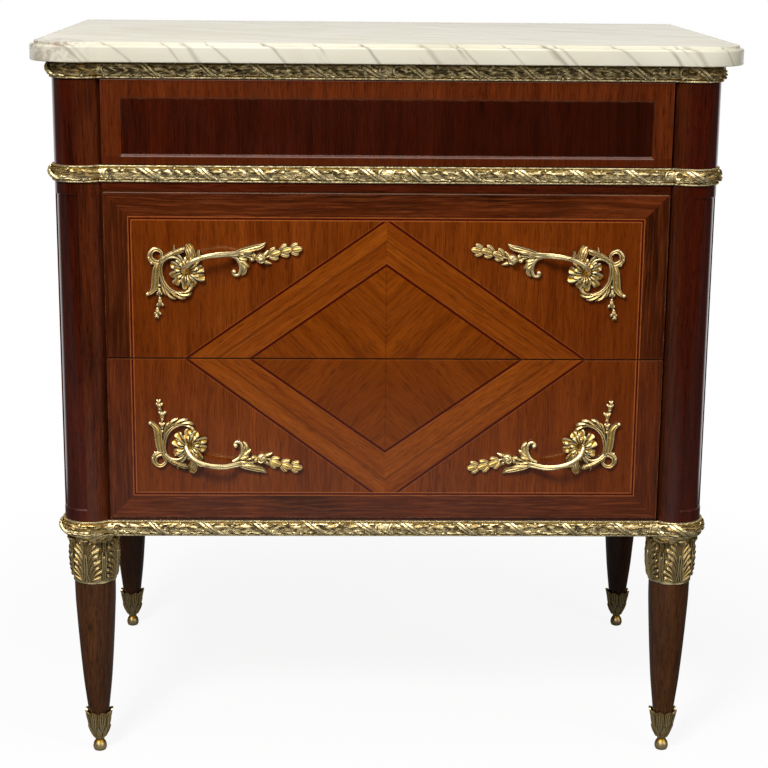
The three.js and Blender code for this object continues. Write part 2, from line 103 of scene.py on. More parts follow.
class Shell:
    """The points and faces of one piece while it is shaped, in metres."""

    def __init__(self):
        self.points = []
        self.faces = []
        self.count = 0

    def add(self, points):
        self.points.append(np.asarray(points, float).reshape(-1, 3))
        start = self.count
        self.count += len(self.points[-1])
        return start

    def grid(self, rows, round_rows=False, round_columns=False):
        """Quads between rows of points, closed on themselves where asked."""
        rows = np.asarray(rows, float)
        m, n = rows.shape[:2]
        start = self.add(rows)
        for i in range(m if round_rows else m - 1):
            for j in range(n if round_columns else n - 1):
                a, b = start + i * n, start + (i + 1) % m * n
                k = (j + 1) % n
                self.faces.append((a + j, a + k, b + k, b + j))

    def cap(self, ring):
        start = self.add(ring)
        self.faces.append(tuple(range(start, start + len(ring))))

    def tube(self, rings):
        """Rings of points joined one after another, with both ends closed."""
        self.grid(rings, round_columns=True)
        self.cap(rings[0])
        self.cap(rings[-1])

    def piece(self, name, material, sharp=35):
        """The shell as a mesh object, welded, with its faces turned outwards."""
        weld = 0.02 * mm
        mesh = bpy.data.meshes.new(name)
        mesh.from_pydata(np.vstack(self.points).tolist(), [], self.faces)
        work = bmesh.new()
        work.from_mesh(mesh)
        bmesh.ops.remove_doubles(work, verts=work.verts, dist=weld)
        bmesh.ops.dissolve_degenerate(work, edges=work.edges, dist=weld / 10)
        bmesh.ops.recalc_face_normals(work, faces=work.faces)
        work.to_mesh(mesh)
        work.free()
        return finished(name, mesh, material, sharp)


def placed(name, data):
    """A new object in the scene."""
    made = bpy.data.objects.new(name, data)
    bpy.context.scene.collection.objects.link(made)
    return made


def finished(name, mesh, material, sharp=35):
    mesh.materials.clear()
    mesh.materials.append(material)
    mesh.shade_smooth()
    mesh.set_sharp_from_angle(angle=math.radians(sharp))
    return placed(name, mesh)


def seat(piece, body, slot, *nodes):
    """A finished piece joins its body, and the plain solids it stands for are hidden. The slot is not used."""
    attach(piece, body)
    if nodes:
        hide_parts(*nodes)


def lathe(shell, centre, profile, around=72):
    """A turned form about an upright axis, from radius and height pairs."""
    rings = []
    for i in range(around):
        a = 2 * math.pi * i / around
        rings.append([(centre[0] + r * math.sin(a), centre[1] - r * math.cos(a), z) for r, z in profile])
    shell.grid(rings, round_rows=True, round_columns=True)


class Relief(Shell):
    """A shell for castings. Leaves, ropes and buds are laid out over a flat ground as (u, v, out), in
    millimetres, and place maps points of that ground, in metres, into the frame."""

    def __init__(self, place):
        super().__init__()
        self.place = place

    def frond(self, path, widths, rise, lobes=0, cut=0.4, flutes=2, groove=0.55, thick=1.0,
              steps=30, across=7, hollow=False):
        """A leaf, petal or scroll. Its widths are rows of share, left and right, or one number for both."""
        centre = smooth_path(path, steps + 1)
        t = np.linspace(0, 1, steps + 1)
        along = np.gradient(centre[:, :2], axis=0)
        along /= np.linalg.norm(along, axis=1)[:, None]
        aside = np.stack([-along[:, 1], along[:, 0]], 1)
        left = table(t, [(row[0], row[1]) for row in widths])
        right = table(t, [(row[0], row[-1]) for row in widths])
        lift = rise * np.minimum(1, 4 * (1 - t) + 0.25)
        tooth = (t * lobes) % 1 if lobes else np.zeros_like(t)
        grow = 1 - cut * (1 - tooth) ** 1.6 if lobes else np.ones_like(t)
        top = []
        for q in np.linspace(-1, 1, 2 * across + 1):
            half = np.where(q < 0, right, left) * grow
            spot = centre[:, :2] + aside * (q * half)[:, None]
            spot = spot + along * (0.6 * half * q**2 * tooth)[:, None]
            wave = 2 * abs(math.cos(math.pi * flutes * q)) - 1
            ridge = 1 - 2 * math.exp(-((q / 0.42) ** 2)) if hollow else wave
            height = centre[:, 2] + lift * (1 - abs(q) ** 2.4) + groove * ridge * np.minimum(1, half / 2)
            top.append(np.column_stack([spot, height]))
        top = np.array(top)
        under = top.copy()
        under[:, :, 2] = centre[None, :, 2] - thick
        ring = np.concatenate([top, under[::-1]], 0)
        self.tube([self.place(ring[:, i] * mm) for i in range(steps + 1)])

    def rope(self, path, radius, steps=36, around=10):
        """A round bar along a path, with the radius as a number or a table of shares."""
        centre = smooth_path(path, steps + 1)
        t = np.linspace(0, 1, steps + 1)
        thick = table(t, radius) if hasattr(radius, "__len__") else np.full_like(t, radius)
        along = np.gradient(centre, axis=0)
        along /= np.linalg.norm(along, axis=1)[:, None]
        up = np.array([0.0, 0.0, 1.0])
        rings = []
        for c, d, r in zip(centre, along, thick):
            s = np.cross(up, d)
            s = s / np.linalg.norm(s) if np.linalg.norm(s) > 1e-3 else np.array([1.0, 0, 0])
            w = np.cross(d, s)
            turn = [2 * math.pi * k / around for k in range(around)]
            ring = np.array([c + r * (s * math.cos(a) + w * math.sin(a)) for a in turn])
            rings.append(self.place(ring * mm))
        self.tube(rings)

    def ball(self, centre, radius, folds=0, around=14, rise=9):
        """A round bud, with soft folds round it where asked."""
        rings = []
        for i in range(rise + 1):
            b = math.pi * i / rise
            ring = []
            for k in range(around):
                a = 2 * math.pi * k / around
                r = radius * (1 + 0.12 * math.cos(folds * a + 3 * b)) if folds else radius
                ring.append((
                    centre[0] + r * math.sin(b) * math.cos(a),
                    centre[1] + r * math.sin(b) * math.sin(a),
                    centre[2] + r * math.cos(b),
                ))
            rings.append(self.place(np.array(ring) * mm))
        self.tube(rings)


# Helpers for node trees.


class Recipe:
    """A node tree while it is written: each call adds a node and hands back its output."""

    def __init__(self, tree):
        self.tree = tree

    def node(self, kind, inputs=None, **settings):
        made = self.tree.nodes.new(kind)
        for name, value in settings.items():
            setattr(made, name, value)
        for key, value in (inputs or {}).items():
            self.feed(made.inputs[key], value)
        return made

    def feed(self, socket, value):
        if isinstance(value, bpy.types.NodeSocket):
            self.tree.links.new(value, socket)
        else:
            socket.default_value = value

    def math(self, operation, *values):
        made = self.node("ShaderNodeMath", operation=operation)
        for socket, value in zip(made.inputs, values):
            self.feed(socket, value)
        return made.outputs[0]

    def plus(self, a, b):
        return self.math("ADD", a, b)

    def less(self, a, b):
        return self.math("SUBTRACT", a, b)

    def times(self, a, b):
        return self.math("MULTIPLY", a, b)

    def divided(self, a, b):
        return self.math("DIVIDE", a, b)

    def larger(self, a, b):
        return self.math("MAXIMUM", a, b)

    def absolute(self, a):
        return self.math("ABSOLUTE", a)

    def past(self, value, limit):
        """One where the value is over the limit, and nothing elsewhere."""
        return self.math("GREATER_THAN", value, limit)

    def vector(self, operation, *values):
        made = self.node("ShaderNodeVectorMath", operation=operation)
        for socket, value in zip(made.inputs, values):
            self.feed(socket, value)
        return made.outputs["Value" if operation in ("DOT_PRODUCT", "LENGTH", "DISTANCE") else "Vector"]

    def ramp(self, value, low, high, to_low=0.0, to_high=1.0, smooth=False):
        """The value from low to high read as from to_low to to_high, and held at the ends."""
        made = self.node("ShaderNodeMapRange", clamp=True)
        made.interpolation_type = "SMOOTHSTEP" if smooth else "LINEAR"
        for key, number in zip(("Value", "From Min", "From Max", "To Min", "To Max"),
                               (value, low, high, to_low, to_high)):
            self.feed(made.inputs[key], number)
        return made.outputs["Result"]

    def mix(self, factor, a, b, kind="RGBA"):
        made = self.node("ShaderNodeMix", data_type=kind)
        sockets = [s for s in made.inputs if s.enabled]
        for socket, value in zip(sockets, (factor, a, b)):
            self.feed(socket, value)
        return [s for s in made.outputs if s.enabled][0]

    def split(self, vector):
        return self.node("ShaderNodeSeparateXYZ", {"Vector": vector}).outputs

    def join(self, x, y, z):
        return self.node("ShaderNodeCombineXYZ", {"X": x, "Y": y, "Z": z}).outputs[0]

    def noise(self, vector, scale, detail=2.0, rough=0.5, distort=0.0):
        made = self.node("ShaderNodeTexNoise", {"Vector": vector, "Scale": scale, "Detail": detail,
                                                "Roughness": rough, "Distortion": distort})
        return made.outputs["Fac"]

    def fill(self, made, **inputs):
        """Values for the inputs of a node, by their names."""
        for key, value in inputs.items():
            self.feed(made.inputs[key.replace("_", " ")], value)

    def group(self, tree, **inputs):
        made = self.node("ShaderNodeGroup", node_tree=tree)
        self.fill(made, **inputs)
        return made.outputs


def new_group(family, name, inputs, outputs):
    """An empty node group with its named sockets: a kind and a default for each input."""
    tree = bpy.data.node_groups.new(name, family)
    for key, (kind, value) in inputs.items():
        made = tree.interface.new_socket(key, in_out="INPUT", socket_type=kind)
        if value is not None:
            made.default_value = value
    for key, kind in outputs.items():
        tree.interface.new_socket(key, in_out="OUTPUT", socket_type=kind)
    recipe = Recipe(tree)
    return tree, recipe, recipe.node("NodeGroupInput").outputs, recipe.node("NodeGroupOutput").inputs


number, whole, direction = "NodeSocketFloat", "NodeSocketInt", "NodeSocketVector"
shape, thing, finish = "NodeSocketGeometry", "NodeSocketObject", "NodeSocketMaterial"


def wood_grain_group():
    """Grain that runs along Z: broad streaks, dark veins, fine fibres, short pores and a slow figure."""
    tree, r, given, out = new_group(
        "ShaderNodeTree", "wood_grain",
        {"Vector": (direction, None), "Streaks": (number, 90.0), "Length": (number, 0.04),
         "Figure": (number, 0.5)},
        {"Tone": number, "Veins": number, "Pores": number},
    )
    x, y, z = r.split(given["Vector"])[0:3]
    drift = r.noise(r.join(x, y, r.times(z, 0.5)), 8.0, 3.0)
    bend = r.times(r.less(drift, 0.5), 0.02)
    long = r.times(z, given["Length"])
    run = r.join(r.plus(x, bend), y, long)
    broad = r.noise(run, given["Streaks"], 4.0, 0.6)
    fine = r.noise(run, r.times(given["Streaks"], 5.0), 3.0, 0.7)
    slow = r.noise(r.join(x, y, r.times(z, 0.3)), 16.0, 3.0, 0.55, 0.8)
    mixed = r.plus(r.times(broad, 0.5), r.times(fine, 0.5))
    tone = r.mix(given["Figure"], mixed, slow, kind="FLOAT")
    r.feed(out["Tone"], r.ramp(tone, 0.36, 0.64))
    thread = r.noise(run, r.times(given["Streaks"], 2.2), 2.0, 0.5)
    near = r.absolute(r.less(thread, 0.5))
    patch = r.ramp(slow, 0.4, 0.6)
    r.feed(out["Veins"], r.times(r.ramp(near, 0.0, 0.035, 1.0, 0.0), patch))
    short = r.join(x, y, r.times(z, 0.1))
    pits = r.noise(short, 620.0, 2.0, 0.7)
    r.feed(out["Pores"], r.ramp(pits, 0.53, 0.66))
    return tree


def patina_and_highlight_group():
    """Where a mount stays dark with dirt, and where it is bright with rubbing and painted highlight: crevices,
    raised edges and cloudy wear.
    """
    tree, r, given, out = new_group(
        "ShaderNodeTree", "gilt_patina",
        {"Vector": (direction, None), "Reach": (number, 2.5 * mm)},
        {"Hollow": number, "Rubbed": number, "Cloud": number},
    )
    shade = r.node("ShaderNodeAmbientOcclusion", {"Distance": given["Reach"]}, samples=8)
    r.feed(out["Hollow"], r.ramp(shade.outputs["AO"], 0.35, 0.92, 1.0, 0.0))
    point = r.node("ShaderNodeNewGeometry").outputs["Pointiness"]
    r.feed(out["Rubbed"], r.ramp(point, 0.502, 0.54))
    r.feed(out["Cloud"], r.noise(given["Vector"], 160.0, 4.0, 0.6))
    return tree


def edge_wear_and_sheen_group():
    """Edges of polished wood, where the colour is rubbed thin and partly lightened as painted sheen: the
    rounded normal against the flat one.
    """
    tree, r, given, out = new_group(
        "ShaderNodeTree", "worn_edge",
        {"Vector": (direction, None), "Width": (number, 0.8 * mm)},
        {"Edge": number},
    )
    soft = r.node("ShaderNodeBevel", {"Radius": given["Width"]}, samples=4).outputs["Normal"]
    flat = r.node("ShaderNodeNewGeometry").outputs["Normal"]
    same = r.vector("DOT_PRODUCT", soft, flat)
    edge = r.ramp(same, 0.985, 0.9)
    patchy = r.ramp(r.noise(given["Vector"], 60.0, 3.0), 0.35, 0.6)
    r.feed(out["Edge"], r.times(edge, patchy))
    return tree


def bend_tree():
    """Ornament for a moulding: rows of leaves, berries and bound ribbons, laid out straight and then bent
    along the path and over the half round. X runs along the path, Y up the section and Z out of it."""
    tree, r, given, result = new_group(
        "GeometryNodeTree", "laurel_band",
        {"Geometry": (shape, None), "Leaf": (thing, None), "Berry": (thing, None), "Ribbon": (thing, None),
         "Curl": (thing, None), "Leaf Pitch": (number, 3.0 * mm), "Row Height": (number, 3.4 * mm),
         "Ribbon Pitch": (number, 62.5 * mm), "Ribbon Start": (number, 60 * mm),
         "Berry Height": (number, 5.6 * mm), "Margin": (number, 8 * mm), "Seat": (number, 1.6 * mm),
         "Core Proud": (number, 3.2 * mm), "Core Height": (number, 5.6 * mm), "Middle": (number, 9.6 * mm),
         "Seed": (whole, 3), "Material": (finish, None)},
        {"Geometry": shape},
    )
    path = r.node("GeometryNodeMeshToCurve", {"Mesh": given["Geometry"]}).outputs["Curve"]
    length = r.node("GeometryNodeCurveLength", {"Curve": path}).outputs["Length"]
    room = r.less(length, r.times(given["Margin"], 2.0))
    index = r.node("GeometryNodeInputIndex").outputs["Index"]

    def stray(reach):
        """A small step aside, different for each copy."""
        made = r.node("FunctionNodeRandomValue", {"Seed": r.plus(given["Seed"], 31.0)},
                      data_type="FLOAT_VECTOR")
        made.inputs["Min"].default_value = (-2 * reach, -reach, 0.0)
        made.inputs["Max"].default_value = (2 * reach, reach, 0.3 * reach)
        return made.outputs["Value"]

    def row(piece, pitch, start, height, turn, wobble, drift=0.0):
        """Copies of one piece along the straight layout, each with its own small turn and shift."""
        free = r.less(r.less(length, given["Margin"]), start)
        count = r.plus(r.math("FLOOR", r.divided(free, pitch)), 1.0)
        line = r.node("GeometryNodeMeshLine", {
            "Count": count, "Start Location": r.join(start, 0.0, 0.0), "Offset": r.join(pitch, 0.0, 0.0)})
        lifted = r.node("GeometryNodeSetPosition", {
            "Geometry": line.outputs["Mesh"],
            "Offset": r.vector("ADD", r.join(0.0, height, 0.0), stray(drift))}).outputs["Geometry"]
        random = r.node("FunctionNodeRandomValue", {"Seed": given["Seed"]}, data_type="FLOAT_VECTOR")
        random.inputs["Min"].default_value = (0.85, 0.85, -wobble)
        random.inputs["Max"].default_value = (1.2, 1.2, wobble)
        spin = r.split(random.outputs["Value"])[2]
        grow = r.join(r.split(random.outputs["Value"])[0], 1.0, 1.0)
        return r.node("GeometryNodeInstanceOnPoints", {
            "Points": lifted,
            "Instance": r.node("GeometryNodeObjectInfo", {"Object": given[piece]}).outputs["Geometry"],
            "Rotation": r.join(0.0, 0.0, r.plus(turn, spin)),
            "Scale": grow}).outputs["Instances"]

    level = r.less(r.math("MODULO", r.times(index, 3.0), 4.0), 1.5)
    leaves = row("Leaf", given["Leaf Pitch"], given["Margin"], r.times(level, given["Row Height"]),
                 r.less(r.times(level, 0.1), 0.14), 0.26, 0.8 * mm)
    odd = r.less(r.times(r.math("MODULO", index, 2.0), 2.0), 1.0)
    berries = row("Berry", r.divided(given["Ribbon Pitch"], 4.0), given["Margin"],
                  r.times(odd, given["Berry Height"]), 0.0, 0.0, 0.5 * mm)
    ribbons = row("Ribbon", given["Ribbon Pitch"], given["Ribbon Start"], 0.0, 0.0, 0.05)
    curls = row("Curl", room, given["Margin"], 0.0, 0.0, 0.0)
    laid = r.node("GeometryNodeJoinGeometry")
    for each in (leaves, berries, ribbons, curls):
        r.feed(laid.inputs["Geometry"], each)
    flat = r.node("GeometryNodeRealizeInstances", {"Geometry": laid.outputs["Geometry"]}).outputs["Geometry"]
    u, v, w = r.split(r.node("GeometryNodeInputPosition").outputs["Position"])[0:3]
    on = r.node("GeometryNodeSampleCurve", {"Curves": path, "Length": u}, mode="LENGTH", data_type="FLOAT")
    outward = r.vector("NORMALIZE", r.vector("CROSS_PRODUCT", on.outputs["Tangent"], (0.0, 0.0, 1.0)))
    angle = r.divided(v, r.times(given["Core Height"], 1.05))
    reach = r.times(r.plus(given["Core Proud"], w), r.math("COSINE", angle))
    rise = r.times(r.plus(given["Core Height"], w), r.math("SINE", angle))
    out = r.node("ShaderNodeVectorMath", {0: outward, "Scale": r.plus(reach, given["Seat"])},
                 operation="SCALE").outputs["Vector"]
    place = r.vector("ADD", r.vector("ADD", on.outputs["Position"], out),
                     r.join(0.0, 0.0, r.plus(rise, given["Middle"])))
    bent = r.node("GeometryNodeSetPosition", {"Geometry": flat, "Position": place}).outputs["Geometry"]
    done = r.node("GeometryNodeSetMaterial", {"Geometry": bent, "Material": given["Material"]})
    r.feed(result["Geometry"], done.outputs["Geometry"])
    return tree


def ring_tree():
    """One sector of an ornament repeated round an upright axis."""
    tree, r, given, result = new_group(
        "GeometryNodeTree", "leaf_ring",
        {"Geometry": (shape, None), "Sector": (thing, None), "Count": (whole, 8), "Turn": (number, None),
         "Centre": (direction, None), "Material": (finish, None)},
        {"Geometry": shape},
    )
    spots = r.node("GeometryNodeMeshLine", {"Count": given["Count"], "Start Location": given["Centre"],
        "Offset": (0.0, 0.0, 0.0)}).outputs["Mesh"]
    index = r.node("GeometryNodeInputIndex").outputs["Index"]
    angle = r.plus(r.times(r.divided(index, given["Count"]), 2 * math.pi), given["Turn"])
    copies = r.node("GeometryNodeInstanceOnPoints", {
        "Points": spots,
        "Instance": r.node("GeometryNodeObjectInfo", {"Object": given["Sector"]}).outputs["Geometry"],
        "Rotation": r.join(0.0, 0.0, angle)}).outputs["Instances"]
    both = r.node("GeometryNodeJoinGeometry")
    r.feed(both.inputs["Geometry"], copies)
    r.feed(both.inputs["Geometry"], given["Geometry"])
    real = r.node("GeometryNodeRealizeInstances", {"Geometry": both.outputs["Geometry"]}).outputs["Geometry"]
    done = r.node("GeometryNodeSetMaterial", {"Geometry": real, "Material": given["Material"]})
    r.feed(result["Geometry"], done.outputs["Geometry"])
    return tree


def grown(host, tree, **inputs):
    """The plain mesh that a tree makes from a host object, which is then gone."""
    added = host.modifiers.new("grow", "NODES")
    added.node_group = tree
    for item in tree.interface.items_tree:
        key = item.name.replace(" ", "_")
        if item.item_type == "SOCKET" and item.in_out == "INPUT" and key in inputs:
            added[item.identifier] = inputs[key]
    graph = bpy.context.evaluated_depsgraph_get()
    mesh = bpy.data.meshes.new_from_object(host.evaluated_get(graph))
    bpy.data.objects.remove(host)
    return mesh


def tone(rgb):
    """A screen colour of 0 to 255 as the linear colour that a shader takes."""
    return (*[(c / 255 / 12.92) if c <= 10.3 else ((c / 255 + 0.055) / 1.055) ** 2.4 for c in rgb], 1.0)


def material_with(name, **settings):
    """A new material and its recipe, the bsdf and where pieces read their own coordinates."""
    made = bpy.data.materials.new(name)
    made.use_nodes = True
    r = Recipe(made.node_tree)
    bsdf = made.node_tree.nodes["Principled BSDF"]
    r.fill(bsdf, **settings)
    where = r.node("ShaderNodeTexCoord").outputs["Object"]
    return made, r, bsdf, where


def bump(r, bsdf, height, strength, distance=0.2 * mm):
    made = r.node("ShaderNodeBump", {"Height": height, "Strength": strength, "Distance": distance})
    r.feed(bsdf.inputs["Normal"], made.outputs["Normal"])


def polished_wood(name, dark, light, grain, edge, along="Z", shift=(0, 0, 0), streaks=90.0, figure=0.35,
                  gloss=0.11, coat=0.4, wear_and_sheen=0.35, shine=0.22, deeper=None, inner=None, dim=0.0):
    """French-polished or waxed wood, its grain along one axis of the chest. Deeper holds the two tones of a
    sunk panel and the level behind which they show."""
    made, r, bsdf, where = material_with(name, Coat_Weight=coat, Coat_Roughness=0.06,
        Specular_IOR_Level=shine)
    x, y, z = r.split(r.vector("ADD", where, shift))[0:3]
    order = {"Z": (x, y, z), "X": (z, y, x), "Y": (x, z, y)}[along]
    found = r.group(grain, Vector=r.join(*order), Streaks=streaks, Figure=figure)
    base = r.mix(found["Tone"], dark, light)
    if inner:
        across = r.split(where)[0]
        right = r.past(across, 0.0)
        # The flat strip beside each column, lighter partly as painted reflection, narrower on the right, where
        # the column is darker too as painted shade.
        line = r.plus(r.absolute(across), r.times(right, 11 * mm))
        stile = r.ramp(line, column_x - 3 * mm, column_x + 5 * mm, 1.0, 0.0)
        base = r.mix(stile, base, r.mix(found["Tone"], inner[0], inner[1]))
        # Painted shade: the right column is darkened.
        base = r.mix(r.times(right, 0.4), base, dark)
    if deeper:
        # The sunk panel darkens to the right as painted shade, and the frame round it is darker along its foot.
        sunk = r.past(r.split(where)[1], deeper[2])
        floor = r.mix(found["Tone"], deeper[0], deeper[1])
        floor = r.mix(r.ramp(r.split(where)[0], -opening_x, opening_x, 0.0, 0.55), floor, deeper[0])
        base = r.mix(r.ramp(r.split(where)[2], frieze_low.z + 9 * mm, frieze_low.z + 10.5 * mm, 0.45, 0.0),
            base, dark)
        base = r.mix(sunk, base, floor)
    black = tuple(0.3 * c for c in dark[:3]) + (1.0,)
    # Painted shade: the wood darkens towards the back, where the case shades the rear legs.
    if dim:
        base = r.mix(r.ramp(r.split(where)[1], 0.0, 0.15, 0.0, dim), base, black)
    base = r.mix(r.times(found["Veins"], 0.5), base, black)
    base = r.mix(r.times(found["Pores"], 0.5), base, black)
    # The edges are lightened for real wear and partly as painted sheen.
    rubbed_and_sheen = r.group(edge, Vector=where)["Edge"]
    base = r.mix(r.times(rubbed_and_sheen, wear_and_sheen), base, tuple(min(1, 2.6 * c) for c in light[:3]) + (1.0,))
    rough = r.ramp(r.noise(where, 24.0, 4.0), 0.3, 0.7, gloss, gloss + 0.1)
    r.fill(bsdf, Base_Color=base, Roughness=rough)
    height = r.less(r.times(found["Tone"], 0.2), r.times(found["Pores"], 0.5))
    bump(r, bsdf, height, 0.12)
    return made


def marquetry_wood(name, grain, edge, colours, sizes):
    """Both deep drawer fronts as one picture: mitred border, strings, vertical field and a banded lozenge."""
    made, r, bsdf, where = material_with(name, Coat_Weight=0.4, Coat_Roughness=0.16, Specular_IOR_Level=0.25)
    x, y, z = r.split(where)[0:3]
    ax = r.absolute(x)
    up = r.less(z, gap_z)
    az = r.absolute(up)
    above = r.past(up, 0.0)
    right = r.past(x, 0.0)
    quarter = r.plus(r.times(above, 0.37), r.times(right, 0.83))

    def lozenge(side, top, bottom):
        """How far a point lies outside a lozenge, in metres."""
        tall = r.mix(above, bottom, top, kind="FLOAT")
        share = r.plus(r.divided(ax, side), r.divided(az, tall))
        return r.times(r.less(share, 1.0), 0.5 * (top + bottom) * math.cos(slope))

    slope = math.atan2(sizes.lozenge_top, sizes.lozenge_side)
    outer = lozenge(sizes.lozenge_side, sizes.lozenge_top, sizes.lozenge_foot)
    inner = lozenge(sizes.diamond_side, sizes.diamond_top, sizes.diamond_foot)
    border_x = front_high.x - sizes.border
    top_z = front_high.z - sizes.border
    foot_z = lower_low.z + sizes.border
    rim_x = r.less(ax, border_x)
    rim_z = r.larger(r.less(z, top_z), r.less(foot_z, z))
    rim = r.larger(rim_x, rim_z)
    flat = r.past(rim_z, rim_x)

    def spread(across, along, offset):
        return r.join(r.plus(across, offset), y, r.plus(along, offset))

    cos, sin = math.cos(slope), math.sin(slope)
    band_across = r.plus(r.times(ax, sin), r.times(az, cos))
    band_along = r.less(r.times(ax, cos), r.times(az, sin))
    match_across = r.times(r.less(ax, az), math.sqrt(0.5))
    match_along = r.times(r.plus(ax, az), math.sqrt(0.5))
    in_band = r.math("LESS_THAN", outer, 0.0)
    in_diamond = r.math("LESS_THAN", inner, 0.0)
    in_border = r.past(rim, 0.0)
    point = spread(x, z, quarter)
    point = r.mix(in_band, point, spread(band_across, band_along, quarter), kind="VECTOR")
    point = r.mix(in_diamond, point, spread(match_across, match_along, above), kind="VECTOR")
    side_run = spread(x, z, 3.1)
    flat_run = spread(z, x, 5.7)
    point = r.mix(in_border, point, r.mix(flat, side_run, flat_run, kind="VECTOR"), kind="VECTOR")
    found = r.group(grain, Vector=point, Streaks=r.mix(in_border, 130.0, 75.0, kind="FLOAT"),
                    Figure=r.mix(in_border, 0.25, 0.4, kind="FLOAT"))
    light = found["Tone"]
    field = r.mix(light, colours.field_dark, colours.field_light)
    field = r.mix(r.times(found["Veins"], 0.35), field, colours.field_streak)
    field = r.mix(r.ramp(ax, 0.16, 0.29, 0.0, 0.3), field, colours.field_dark)
    band = r.mix(light, colours.band_dark, colours.band_light)
    middle = r.absolute(r.plus(outer, sizes.band_streak))
    heart = r.ramp(middle, 0.0, 2.6 * mm, 0.6, 0.0, smooth=True)
    band = r.mix(r.larger(heart, r.times(found["Veins"], 0.6)), band, colours.band_heart)
    diamond = r.mix(light, colours.diamond_dark, colours.diamond_light)
    diamond = r.mix(r.ramp(up, -3 * mm, 3 * mm, 0.45, 0.0), diamond, colours.diamond_dark)
    border = r.mix(light, colours.border_dark, colours.border_light)
    shade = r.times(r.less(1.0, flat), above)
    border = r.mix(r.times(shade, 0.5), border, colours.border_dark)
    px, py, pz = r.split(point)[0:3]
    wavy = r.plus(px, r.times(r.noise(r.join(px, py, r.times(pz, 0.6)), 14.0), 0.01))
    flame = r.ramp(r.noise(r.join(wavy, py, r.times(pz, 0.04)), 420.0, 4.0, 0.7), 0.46, 0.74)
    border = r.mix(r.times(flame, r.mix(flat, 0.3, 0.5, kind="FLOAT")), border, colours.border_flame)
    base = r.mix(in_band, field, band)
    base = r.mix(in_diamond, base, diamond)
    base = r.mix(in_border, base, border)

    def line(distance, half, soft=0.6 * mm):
        return r.ramp(r.absolute(distance), half, half + soft, 1.0, 0.0)

    inside = r.less(1.0, in_border)
    pale = colours.string_pale
    ink = colours.string_dark
    half = sizes.string / 2
    for edge_line in (outer, inner):
        halo = r.times(line(r.less(edge_line, 1.2 * half), 0.8 * half, 0.4 * mm), inside)
        base = r.mix(r.times(halo, 0.3), base, pale)
        base = r.mix(r.times(line(edge_line, half), inside), base, ink)
    base = r.mix(r.times(line(rim, 1.9 * half), 0.7), base, pale)
    base = r.mix(line(rim, 0.75 * half), base, ink)
    joint = r.times(line(ax, 0.1 * mm), in_diamond)
    base = r.mix(r.times(joint, 0.5), base, ink)
    mitre = line(r.less(rim_x, rim_z), 0.12 * mm)
    base = r.mix(r.times(r.times(mitre, in_border), 0.5), base, ink)
    base = r.mix(r.times(found["Pores"], 0.4), base, colours.field_streak)
    behind = r.past(y, face_y + sizes.veneer)
    ground = r.mix(r.noise(r.join(z, y, r.times(x, 0.06)), 160.0, 3.0), colours.ground_dark,
                   colours.ground_light)
    base = r.mix(behind, base, ground)
    # The edges are lightened for real wear and partly as painted sheen.
    rubbed_and_sheen = r.group(edge, Vector=where)["Edge"]
    base = r.mix(r.times(rubbed_and_sheen, 0.6), base, colours.rubbed_and_sheen)
    rough = r.ramp(r.noise(where, 20.0, 4.0), 0.3, 0.7, 0.12, 0.22)
    dull = r.larger(behind, r.ramp(az, 1.9 * mm, 2.3 * mm, 1.0, 0.0))
    r.fill(bsdf, Base_Color=base, Roughness=r.mix(dull, rough, 0.6, kind="FLOAT"),
           Coat_Weight=r.mix(dull, 0.4, 0.0, kind="FLOAT"),
           Specular_IOR_Level=r.mix(dull, 0.25, 0.08, kind="FLOAT"))
    bump(r, bsdf, r.less(r.times(light, 0.3), found["Pores"]), 0.1)
    return made


def gilt_bronze(name, patina_and_highlight, colours, reach=2.5 * mm, chased=False):
    """Gilt bronze, dark with dirt in its crevices, bright on its edges with burnish and painted highlight, and
    darkened with painted shade towards the back and below the case. Chased gives the mouldings' fine tooling.
    """
    made, r, bsdf, where = material_with(name, Specular_Tint=colours.gilt_rim)
    found = r.group(patina_and_highlight, Vector=where, Reach=reach)
    across, deep, tall = r.split(where)[0:3]
    grit, depth, strength = r.noise(where, 900.0, 3.0), 0.1 * mm, 0.15
    hollow = found["Hollow"]
    if chased:
        run = r.join(r.times(across, 0.45), r.times(deep, 0.45), tall)
        grit, depth, strength = r.noise(run, 420.0, 2.0, 0.6), 1.2 * mm, 0.8
        hollow = r.larger(hollow, r.ramp(grit, 0.34, 0.46, 0.85, 0.0))
    base = r.mix(found["Cloud"], colours.gilt_low, colours.gilt)
    # Painted highlight, along with real burnish, on the raised edges.
    base = r.mix(r.times(found["Rubbed"], 0.85), base, colours.gilt_high)
    base = r.mix(hollow, base, colours.gilt_hollow)
    # Painted shade: the mounts are darkened towards the back of the chest and below the case.
    dull = r.larger(r.ramp(deep, 0.0, 0.2, 0.0, 0.55), r.ramp(tall, 0.282, 0.288, 0.32, 0.0))
    base = r.mix(dull, base, colours.gilt_hollow)
    rough = r.plus(r.ramp(found["Cloud"], 0.3, 0.7, 0.2, 0.32), r.times(hollow, 0.3))
    r.fill(bsdf, Base_Color=base, Metallic=r.ramp(hollow, 0.3, 1.0, 0.85, 0.4), Roughness=rough)
    bump(r, bsdf, grit, strength, depth)
    return made


